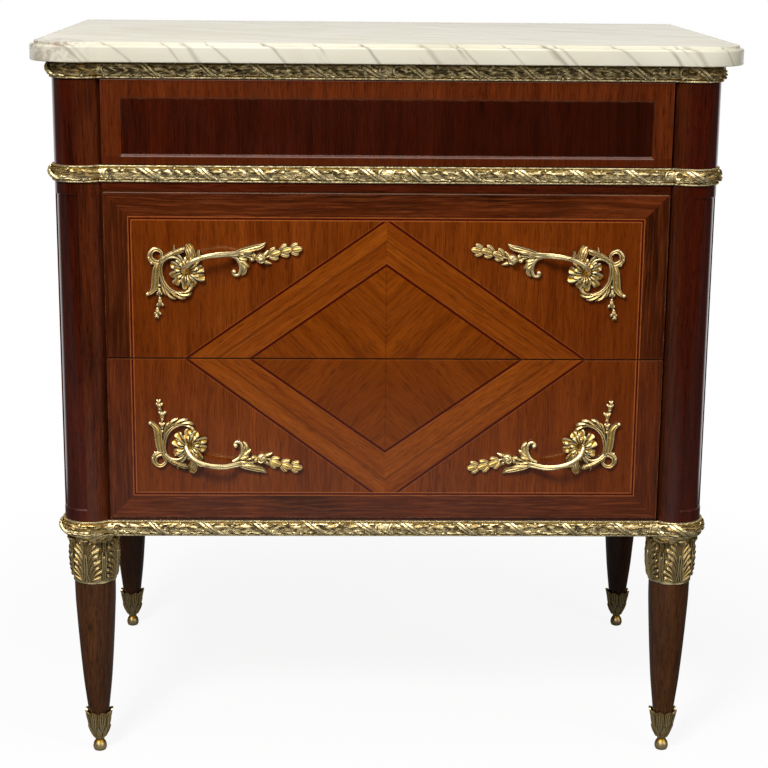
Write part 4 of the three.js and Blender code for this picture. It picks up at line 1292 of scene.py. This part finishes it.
class COMMODE_OT_legs(bpy.types.Operator):
    """Add the turned legs with their leafy capitals and sabots"""

    bl_idname = "commode.add_legs"
    bl_label = "Legs"

    leg_profile = ((8.2, 26), (10.8, 39.9), (12.9, 56.9), (16.7, 90), (18.8, 114.9), (20.8, 142.9), (23, 180),
                   (24.3, 213), (24.3, 283))
    capital_profile = ((25.7, 0), (27.9, 4), (29.8, 18), (30.5, 33), (29.5, 48), (31, 55), (31, 59.5))
    sabot_profile = ((7, 3), (10, 9.4), (12.6, 18.7), (14.6, 31.2), (15.2, 39))
    ball_profile = ((0.01, 0), (5, 0), (7, 1), (7.4, 2.2), (8, 3.2), (8.3, 6.2), (7.4, 10.2), (5.6, 13),
                    (5, 14.4), (5.4, 15.6))

    def wrap(self, profile, foot, sink):
        """Maps a sector's ground onto a turned form: arc length, height and how far out, in metres."""
        heights = [z * mm for _, z in profile]
        radii = [(r - sink) * mm for r, _ in profile]

        def place(points):
            base = np.interp(points[:, 1], heights, radii)
            angle = points[:, 0] / np.interp(points[:, 1], heights, [r + sink * mm for r in radii])
            reach = base + points[:, 2]
            return np.column_stack([reach * np.sin(angle), -reach * np.cos(angle), points[:, 1] + foot * mm])
        return place

    def capital_sector(self, foot):
        """One big acanthus leaf of the capital, its fingers fanned to both sides, and the stem beside it."""
        cast = Relief(self.wrap(self.capital_profile, foot, 3.4))
        cast.frond([(0, 0.6, 0.2), (0, 20, 0.7), (0, 42, 1), (0, 52, 1.2)],
            [(0, 7), (0.25, 16), (0.8, 16), (1, 9)], 0.5, thick=2, steps=16, across=9)
        loop = [(-3.8, 0.7, 1.4), (-1.9, 14, 2.2), (-1.5, 31, 2.6), (0, 37, 2.8), (1.5, 31, 2.6),
            (1.9, 14, 2.2), (3.8, 0.7, 1.4)]
        cast.rope(loop, 0.95, steps=28, around=7)
        cast.rope([(0, 0.8, 1.8), (0, 16, 2), (0, 27, 2)], [(0, 1.1), (1, 0.4)], steps=8, around=7)
        cast.frond([(0, 36, 1.6), (0, 47, 2.2), (0, 55.4, 2.9), (0, 55, 4), (0, 50.5, 4.2)],
            [(0, 2), (0.35, 3.6), (0.75, 4.2), (1, 1.8)], 0.7, thick=1.8, steps=16)
        for k in (-1, 1):
            for u, v, out, tip, fat in (
                (3.6, 1, 18.6, 8.6, 2.4), (3.8, 1.4, 20.6, 16.4, 2.3), (3.4, 2, 16.4, 21, 2),
                (3, 4, 12.6, 27.6, 2.2), (2.8, 14, 18.8, 29, 2.4), (2.4, 17, 15.4, 36, 2.2),
                (2.2, 22, 10.4, 40, 2), (2, 30, 17.6, 43.6, 2.4), (1.8, 33, 12.6, 48.6, 2.2),
                (1.6, 36, 7, 51.6, 2),
            ):
                du, dv = out - u, tip - v
                path = [(k * u, v, 1), (k * (u + 0.28 * du), v + 0.5 * dv, 1.9),
                        (k * (u + 0.68 * du), v + 0.88 * dv, 2.5), (k * (u + 0.92 * du), v + dv, 2.6),
                        (k * out, v + 0.93 * dv, 2.2)]
                cast.frond(path, [(0, 0.9), (0.45, 0.8 * fat), (0.8, fat), (0.95, 0.6 * fat), (1, 0.4)], 0.9,
                    flutes=1, groove=0.4, thick=2.6, steps=14, across=4)
            cast.rope([(20.6 * k, 0.9, 1), (21.2 * k, 20, 1.6), (21.4 * k, 40, 2)], 0.9, steps=12, around=7)
        for u, v, fat in ((23.6, 54, 3.4), (17.4, 55, 2.6), (29.8, 55, 2.6)):
            cast.frond([(u, 36, 0.8), (u, 46, 1.8), (u, v, 2.6), (u, v - 0.4, 3.6), (u, v - 4, 3.8)],
                [(0, 0.8), (0.35, 0.8 * fat), (0.75, fat), (1, 1.2)], 0.7, thick=2.2, steps=14)
        cast.frond([(23.6, 1, 0.4), (23.6, 16, 1.4), (23.6, 30, 2.2), (23.6, 35, 1.6)],
            [(0, 0.8), (0.5, 2.2), (0.85, 1.6), (1, 0.4)], 0.8, flutes=1, thick=2.2, steps=14)
        return cast.piece("capital_sector", finishes.gilt, sharp=50)

    def sabot_sector(self, foot):
        """One pointed leaf of the sabot with its ribs, and the small leaf of the lower tier."""
        cast = Relief(self.wrap(self.sabot_profile, foot, 1.3))
        cast.frond([(0, 2.5, 0.3), (0, 16, 0.5), (0, 30, 0.9), (0, 36.5, 2), (0, 39, 3.4)],
            [(0, 2.6), (0.3, 4.6), (0.7, 5.3), (0.9, 2.4), (1, 0.5)], 0.9, thick=1.2, steps=18)
        for k in (-1, 1):
            cast.rope([(0.6 * k, 10, 1.2), (1.8 * k, 22, 1.5), (3.4 * k, 31.5, 1.2)],
                [(0, 0.5), (0.6, 1), (1, 0.4)], steps=8, around=6)
        cast.rope([(0, 8, 1.3), (0, 28, 1.9), (0, 37, 2.9)], [(0, 0.5), (0.6, 0.9), (1, 0.5)], steps=8,
            around=6)
        cast.frond([(3.2, 2.5, 1), (4.6, 11, 1.6), (5.2, 18.5, 2.4)], [(0, 1.6), (0.5, 2.9), (1, 0.4)], 1,
            thick=1.8, steps=10, across=3)
        return cast.piece("sabot_sector", finishes.gilt, sharp=50)

    def execute(self, context):
        capital_foot, sabot_foot = 223.3, 15
        capital_turn, sabot_turn = math.radians(14.5), math.radians(22.5)
        capital_leaf, sabot_leaf = self.capital_sector(capital_foot), self.sabot_sector(sabot_foot)
        tree = ring_tree()
        leg = smooth_path(self.leg_profile, 40) * mm
        for side, sign in sides:
            for end in ("front", "rear"):
                low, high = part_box(f"leg_{end}_{side}")
                centre = ((low.x + high.x) / 2, (low.y + high.y) / 2)
                shell = Shell()
                lathe(shell, centre, [(0.01 * mm, leg[0][1]), *leg, (0.01 * mm, leg[-1][1])])
                seat(shell.piece(f"turned_leg_{end}_{side}", finishes.leg), "case", "mahogany",
                     f"leg_{end}_{side}")
                body = [(r - 3.2, z + capital_foot) for r, z in self.capital_profile[1:-1]]
                loop = [(24.6, capital_foot), (25.6, capital_foot), *body, (28.2, 282.6), (24.6, 282.6)]
                self.ring(f"leafy_capital_{end}_{side}", centre, loop, capital_leaf, tree,
                    capital_turn * sign, f"capital_{end}_{side}", 4)
                cup = [(r - 1.2, z + sabot_foot) for r, z in self.sabot_profile[:4]]
                rest = [(13.2, 46.2), (12, 46), (8.6, 25.8), (0.01, 25.7)]
                self.ring(f"leafy_sabot_{end}_{side}", centre, [*self.ball_profile, *cup, *rest], sabot_leaf,
                          tree, sabot_turn, f"sabot_{end}_{side}")
        for each in (capital_leaf, sabot_leaf):
            bpy.data.objects.remove(each)
        return {"FINISHED"}

    def ring(self, name, centre, profile, sector, tree, turn, node, count=8):
        shell = Shell()
        lathe(shell, centre, [(r * mm, z * mm) for r, z in profile], 64)
        host = shell.piece(name + "_core", finishes.gilt)
        mesh = grown(host, tree, Sector=sector, Count=count, Turn=turn, Centre=(*centre, 0.0),
                     Material=finishes.gilt)
        seat(finished(name, mesh, finishes.gilt, 45), "case", "gilt_bronze", node)


class COMMODE_OT_pulls(bpy.types.Operator):
    """Add the four scrolled pulls with their rosettes, leaves and bellflowers"""

    bl_idname = "commode.add_pulls"
    bl_label = "Pulls"

    def petals(self, cast):
        """Two rounds of narrow cupped petals about a hollow centre, each bent a little to one side."""
        mid_u, mid_v = 1.4, -0.4
        rounds = (10, 4, 19.6, 4.4, 6, 9), (8, 3.4, 13.8, 3.3, 8.6, 24)
        for count, root, reach, wide, lift, turn in rounds:
            for k in range(count):
                a = math.radians(360 * k / count + turn)
                c, s = math.cos(a), math.sin(a)
                far = reach * (1 + 0.07 * math.sin(2.3 * k))
                bend = 0.2 * reach * (1 if k % 2 else 0.3)
                path = [(root * c, root * s, lift - 3), (0.55 * far * c, 0.55 * far * s, lift + 0.6),
                        (0.86 * far * c - 0.4 * bend * s, 0.86 * far * s + 0.4 * bend * c, lift + 0.4),
                        (far * c - bend * s, far * s + bend * c, lift - 1.8)]
                path = [(u + mid_u, v + mid_v, w) for u, v, w in path]
                cast.frond(path, [(0, 1), (0.4, 0.8 * wide), (0.75, wide), (0.93, 0.8 * wide), (1, 0.9)], 0.3,
                    groove=0.9, thick=1.5, steps=14, across=6, hollow=True)
        rings = [(13, 0.3), (13, 2), (6, 3.6), (4.5, 2.2), (0.01, 1.6), (0.01, 0.3)]
        spokes = [[(r * math.cos(b), r * math.sin(b), w) for r, w in rings]
                  for b in np.linspace(0, 2 * math.pi, 33)[:-1]]
        cast.grid([cast.place(np.array(spoke) * mm) for spoke in spokes], round_rows=True, round_columns=True)

    def bar(self, cast):
        """The grasped bar: it springs from the rosette's heart, bows out and dies into the leaves."""
        line = [(-2.4, -2.5, 6), (-1.5, 2.2, 10.5), (3.5, 8.8, 17), (13, 15.4, 20), (27, 19.8, 20),
            (42, 21.4, 17.5), (54, 21, 10.5), (64, 20.6, 4.5)]
        cast.rope(line, [(0, 1.6), (0.1, 2.6), (0.3, 3), (0.6, 2.9), (0.85, 2.6), (1, 1.2)], steps=48,
            around=14)
        cast.ball((-2.4, -2.2, 6), 2.3)
        for shift, end in ((1.9, 0.82), (-1.8, 0.9)):
            wrap = [(u + 0.3 * shift, v + shift, w + 1.5) for u, v, w in line[3:]]
            cast.rope(wrap, [(0, 0.3), (0.4, 1.2), (end, 1.4), (1, 0.4)], steps=26, around=8)
        cast.frond([(6, 11.4, 18.6), (13, 16, 21), (21, 18.4, 22.6), (27, 19.8, 22.4)],
            [(0, 1.4), (0.4, 2.6), (1, 0.4)], 0.8, thick=2, steps=14)

    def scrolls(self, cast):
        """The open volute, the leaf over the rosette, the large C and its acanthus end."""
        ring = [(-26, 11, 4), (-32, 9.6, 4.4), (-38, 13, 4.6), (-39.2, 18.6, 4.6), (-35.8, 23.6, 4.6),
                (-30.2, 23.6, 4.4), (-26.4, 19.4, 4), (-28.4, 15.8, 3.6)]
        cast.frond(ring, [(0, 2.6), (0.3, 2.1), (0.7, 1.7), (1, 1)], 0.6, thick=4, groove=0.7, steps=40,
            hollow=True)
        outside = [(-27, 9, 3), (-33.4, 7.2, 3), (-40.4, 11.6, 3), (-41.6, 18.8, 3), (-37, 25.2, 3),
                   (-31.8, 25.8, 3)]
        cast.rope(outside, [(0, 1.8), (0.6, 1.5), (1, 0.5)], steps=30)
        for u, v, du, dv in ((-36.4, 10.4, -3.4, -3), (-40, 14.6, -2.8, 0.5), (-32, 8.6, -1.2, -2.8)):
            cast.frond([(u, v, 3), (u + 0.6 * du, v + 0.5 * dv, 4.4), (u + du, v + dv, 4)],
                [(0, 1.6), (0.5, 1.7), (1, 0.5)], 0.8, thick=3.6, steps=8, across=3)
        over = [(-30, 9.4, 4), (-25, 14, 5.5), (-18, 18.2, 6.5), (-9.5, 22.2, 7), (-1, 25.4, 6),
            (3, 25.2, 4.5)]
        cast.frond(over, [(0, 3.4), (0.3, 3.4), (0.65, 2.9, 3.4), (1, 0.8)], 1.6, lobes=4, cut=0.3, thick=6,
            steps=36)
        cast.rope([(-27, 9.5, 5), (-20.5, 14.6, 6.4), (-13.5, 16, 7), (-7.5, 13.8, 7), (-3.5, 8.5, 7)],
            [(0, 1.6), (0.6, 1.3), (1, 0.9)], steps=22, around=8)
        cast.frond([(-13, 21, 5), (-12.6, 25, 5.5), (-12.2, 29, 4)], [(0, 1.5), (1, 0.3)], 0.6, thick=4.5,
            steps=8, across=3)
        cast.frond([(6.4, 9, 6), (7.2, 17, 9), (5.2, 25, 9.5), (1.2, 31, 6.5)],
            [(0, 2.4, 2.6), (0.35, 4.6, 5.4), (0.7, 5.2, 5.6), (0.92, 2.2, 4.6), (1, 0.6, 1)], -1.8, thick=2,
            steps=22)
        cast.frond([(10, 11, 5), (13.6, 17, 7.5), (15, 21.5, 7), (16, 24.6, 5)],
            [(0, 1.8), (0.5, 3), (1, 0.8)], -0.8, thick=2, steps=12)
        big = [(-25.5, 12, 5.5), (-27.8, 4, 5.5), (-27.4, -5, 5), (-24.5, -14, 5), (-18, -21.6, 5),
            (-9, -25.8, 5), (-1, -25.6, 5), (4.6, -21.2, 5.4), (5, -16.6, 4.6)]
        cast.frond(big, [(0, 1.6, 2), (0.3, 1.8, 1.9), (0.6, 1.5, 1.4), (0.85, 1.4, 1.2), (1, 1.2)], 0.6,
            thick=5, groove=0.7, steps=56, hollow=True)
        cast.rope([(u - 2.4, v - 2, 2.6) for u, v, _ in big[2:7]], [(0, 0.6), (0.5, 1.7), (1, 0.8)], steps=30)
        for path in (
            [(-27.5, -9, 2.6), (-26.6, -18, 4), (-24.6, -24, 4.6), (-21.6, -28.6, 4)],
            [(-25.5, -14, 2.8), (-22.4, -23.6, 4.6), (-17.8, -30, 5), (-11.4, -32.6, 4.2)],
            [(-20, -20, 3), (-14, -27, 5), (-7, -31, 5.4), (0, -31.4, 4.4)],
            [(-13, -23.6, 3.2), (-6, -27.4, 5.6), (1, -28, 5.8), (6.4, -25.6, 4.8)],
            [(-6, -24.8, 3.4), (0, -24.4, 6), (5, -21.6, 6.2), (7.2, -16.6, 5.2)],
        ):
            cast.frond(path, [(0, 0.8), (0.5, 1.5), (0.85, 1.7), (1, 0.6)], 1.7, flutes=1, groove=0.4,
                thick=3.4, steps=20, across=4)

    def long_leaf(self, cast):
        """The broad leaf that hangs from the volute and curls out at its foot."""
        cast.frond([(-30.5, 10, 4), (-33, 2, 5), (-34.4, -8, 5), (-35.4, -18, 4.6), (-39, -24.4, 4.4),
            (-44, -27.4, 4)], [(0, 2.4), (0.25, 4.4, 4), (0.6, 4.6, 4.2), (0.8, 2.4, 2.6), (1, 1.6, 1.8)],
            0.6, flutes=1, groove=0.5, thick=4, steps=34)
        cast.ball((-43.6, -27.2, 4.6), 2.3)
        for v in (-6, -11):
            cast.ball((-33.6, v, 4.8), 1, around=8, rise=6)

    def pendant(self, cast):
        """Bellflowers that hang one below another on a stem, each a bud and a flared cup of three petals."""
        cast.rope([(-29.8, -14, 3), (-30.4, -26, 3), (-30.8, -40, 2.6), (-33.4, -53, 2)], 0.8, steps=20,
            around=8)
        cast.ball((-29.8, -17.4, 4), 1.9, folds=4)
        for u, v, wide, tall in ((-30, -21, 3.2, 6.4), (-29.6, -31.5, 4, 9.4), (-32.6, -43.6, 3.8, 7.4),
                                 (-33.6, -51, 2.2, 3.6)):
            cast.ball((u, v - 0.5, 4.2), 1.7)
            cast.frond([(u, v, 3.8), (u, v - 0.5 * tall, 5.4), (u, v - 0.9 * tall, 5.2)],
                [(0, 1.3), (0.4, 1.7), (1, 0.7 * wide)], 1, flutes=1, thick=4, steps=8)
            for k in (-1, 0, 1):
                cast.frond([(u + 0.8 * k, v - 0.6 * tall, 4.6),
                    (u + 0.75 * wide * k, v - 0.88 * tall, 5 - 0.6 * abs(k)),
                    (u + 1.15 * wide * k, v - tall + 0.6 * abs(k), 3.9)],
                    [(0, 1), (0.5, 1.5), (0.8, 1.1), (1, 0.3)], 0.7, flutes=1, groove=0.2, thick=3, steps=8,
                    across=3)

    def tail(self, cast):
        """The acanthus, curl, rose bud and laurel that run out towards the middle of the chest."""
        cast.frond([(54, 19.8, 5), (66, 24, 6.6), (78, 27.2, 6), (86, 29.2, 5), (91.6, 32.8, 4)],
            [(0, 1.8), (0.25, 2.8, 3.4), (0.6, 2.7, 3.7), (0.85, 1.7, 2.5), (1, 0.2)], 0.9, flutes=1,
            groove=0.7, thick=5, steps=30, across=6)
        cast.frond([(60, 21.6, 5.6), (70, 23, 7.6), (78, 24.4, 6.6), (84, 26.8, 4.6)],
            [(0, 1.4), (0.4, 2), (1, 0.3)], 0.9, flutes=1, groove=0.5, thick=5, steps=20)
        cast.frond([(56, 18.4, 5), (64, 19.4, 6.8), (71, 20.6, 6), (76.5, 19.2, 4.4)],
            [(0, 1.6), (0.4, 2.6), (0.8, 2), (1, 0.4)], 0.9, lobes=2, cut=0.25, groove=0.5, thick=5, steps=26)
        curl = [(52, 18.6, 6), (58.5, 14.8, 5), (62.4, 8, 4.6), (63, 1.4, 4.4), (60.6, -4, 4.2),
            (56, -4.6, 4.2), (53.6, -1.6, 4.4)]
        cast.rope(curl, [(0, 2.2), (0.5, 1.9), (1, 1.6)], steps=34)
        cast.ball((55.2, -0.6, 4.8), 2.7)
        for path in (
            [(60.5, 13, 4), (66, 10.2, 5.6), (69.6, 7, 5), (72.6, 4.4, 4)],
            [(61, 11.4, 4), (66.8, 5, 5.2), (67.4, -0.5, 4.6), (64, -4.8, 3.8)],
            [(58, 16, 4.4), (66, 13.4, 5.6), (70.6, 13, 4)],
        ):
            cast.frond(path, [(0, 1.6), (0.45, 2.6), (0.8, 1.8), (1, 0.7)], 1, thick=4, steps=18, across=3)
        cast.rope([(62, 19.4, 3), (74, 15.4, 2.6), (84, 14.6, 2.6), (97, 17.4, 2.4), (112, 23.4, 2.2),
            (128, 26, 2)], 1.3, steps=30, around=8)
        cast.ball((85.8, 14.8, 4.6), 6, around=20, rise=12)
        cast.rope([(82, 17.8, 8.6), (85, 18.8, 10.2), (88.4, 15.8, 10.4), (84.6, 13.6, 10.6), (86, 10.6, 10),
            (89.8, 11.2, 8.6)], [(0, 0.6), (0.5, 1.2), (1, 0.6)], steps=24, around=7)
        for path in (
            [(82, 13, 3), (78.6, 17.5, 4.6), (77.6, 21.4, 3.4)],
            [(80, 14, 3), (75.6, 13.6, 4.6), (72.6, 14.8, 3.4)],
            [(86, 17, 3), (91, 19.6, 4.6), (94.6, 23.8, 3.4)],
            [(87, 12, 3), (92.4, 10.6, 4.6), (98, 8.4, 3.4)],
        ):
            cast.frond(path, [(0, 1.4), (0.5, 2.2), (1, 0.4)], 0.8, thick=3, steps=12, across=3)
        # Three stations of laurel: a leaf to each side and one ahead.
        leaves = (0.62, 13.2, 2.5, 3.8), (-0.6, 12.6, 2.5, 3.4), (0.02, 15.8, 3.5, 4.8)
        for u, v, aim, size in ((95, 17.4, 0.36, 0.96), (107, 21.4, 0.28, 1), (119, 24.2, 0.14, 0.94)):
            for turn, reach, wide, lift in leaves:
                a = aim + turn
                c, s = math.cos(a) * reach * size, math.sin(a) * reach * size
                bend = 0.12 * turn
                cast.frond([(u, v, 2.2), (u + 0.4 * c - bend * s, v + 0.4 * s + bend * c, lift),
                    (u + 0.8 * c, v + 0.8 * s, lift + 0.3), (u + c, v + s, lift - 0.4)],
                    [(0, 1), (0.3, 0.9 * wide), (0.55, wide), (0.85, 0.5 * wide), (1, 0.1)], 0.8, flutes=1,
                    groove=0.35, thick=3, steps=22, across=6)

    def pull(self, drawer, side, sign):
        low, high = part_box(f"{drawer}_pull_nut_{side}")
        hang = 1 if drawer == "upper" else -1
        centre = ((low.x + high.x) / 2, (low.z + high.z) / 2)

        def place(points):
            out = np.maximum(points[:, 2], 0.25 * mm)
            return np.column_stack([centre[0] - sign * points[:, 0], face_y - out,
                centre[1] + hang * points[:, 1]])

        cast = Relief(place)
        for part in (self.petals, self.bar, self.scrolls, self.long_leaf, self.pendant, self.tail):
            part(cast)
        stud, pin = ((0, 0), 2.5, 27), ((62.4, 21.4), 1.5, 9)
        for (u, v), radius, depth in (stud, pin):
            x0, z0 = centre[0] - sign * u * mm, centre[1] + hang * v * mm
            ring = [(x0 + radius * mm * math.sin(a), z0 + radius * mm * math.cos(a))
                    for a in np.linspace(0, 2 * math.pi, 25)[:-1]]
            cast.tube([[(x, face_y + y * mm, z) for x, z in ring] for y in (-1, depth)])
        piece = cast.piece(f"{drawer}_mount_{side}", finishes.gilt, sharp=50)
        seat(piece, drawer + "_drawer", "gilt_bronze", f"{drawer}_pull_{side}")
        dress(f"{drawer}_pull_nut_{side}", finishes.steel, 0.3 * mm)

    def execute(self, context):
        for drawer in deep_drawers:
            for side, sign in sides:
                self.pull(drawer, side, sign)
        return {"FINISHED"}


steps = (COMMODE_OT_stage, COMMODE_OT_marble, COMMODE_OT_case, COMMODE_OT_drawers, COMMODE_OT_mouldings,
    COMMODE_OT_legs, COMMODE_OT_pulls)


class COMMODE_PT_panel(bpy.types.Panel):
    """The sizes and the steps that build the chest"""

    bl_idname = "COMMODE_PT_panel"
    bl_label = "Commode chest"
    bl_space_type = "VIEW_3D"
    bl_region_type = "UI"
    bl_category = "Commode"

    def draw(self, context):
        for group in (context.scene.commode_sizes, context.scene.commode_colours):
            for key in type(group).__annotations__:
                self.layout.prop(group, key)
        for step in steps:
            self.layout.operator(step.bl_idname)


def register():
    for each in (ChestSizes, ChestColours, *steps, COMMODE_PT_panel):
        bpy.utils.register_class(each)
    bpy.types.Scene.commode_sizes = bpy.props.PointerProperty(type=ChestSizes)
    bpy.types.Scene.commode_colours = bpy.props.PointerProperty(type=ChestColours)


def unregister():
    del bpy.types.Scene.commode_colours
    del bpy.types.Scene.commode_sizes
    for each in (COMMODE_PT_panel, *reversed(steps), ChestColours, ChestSizes):
        bpy.utils.unregister_class(each)


def main():
    register()
    bpy.ops.commode.add_stage()
    bpy.ops.commode.add_marble()
    bpy.ops.commode.add_case()
    bpy.ops.commode.add_drawers()
    bpy.ops.commode.add_mouldings()
    bpy.ops.commode.add_legs()
    bpy.ops.commode.add_pulls()


if __name__ == "__main__":
    main()
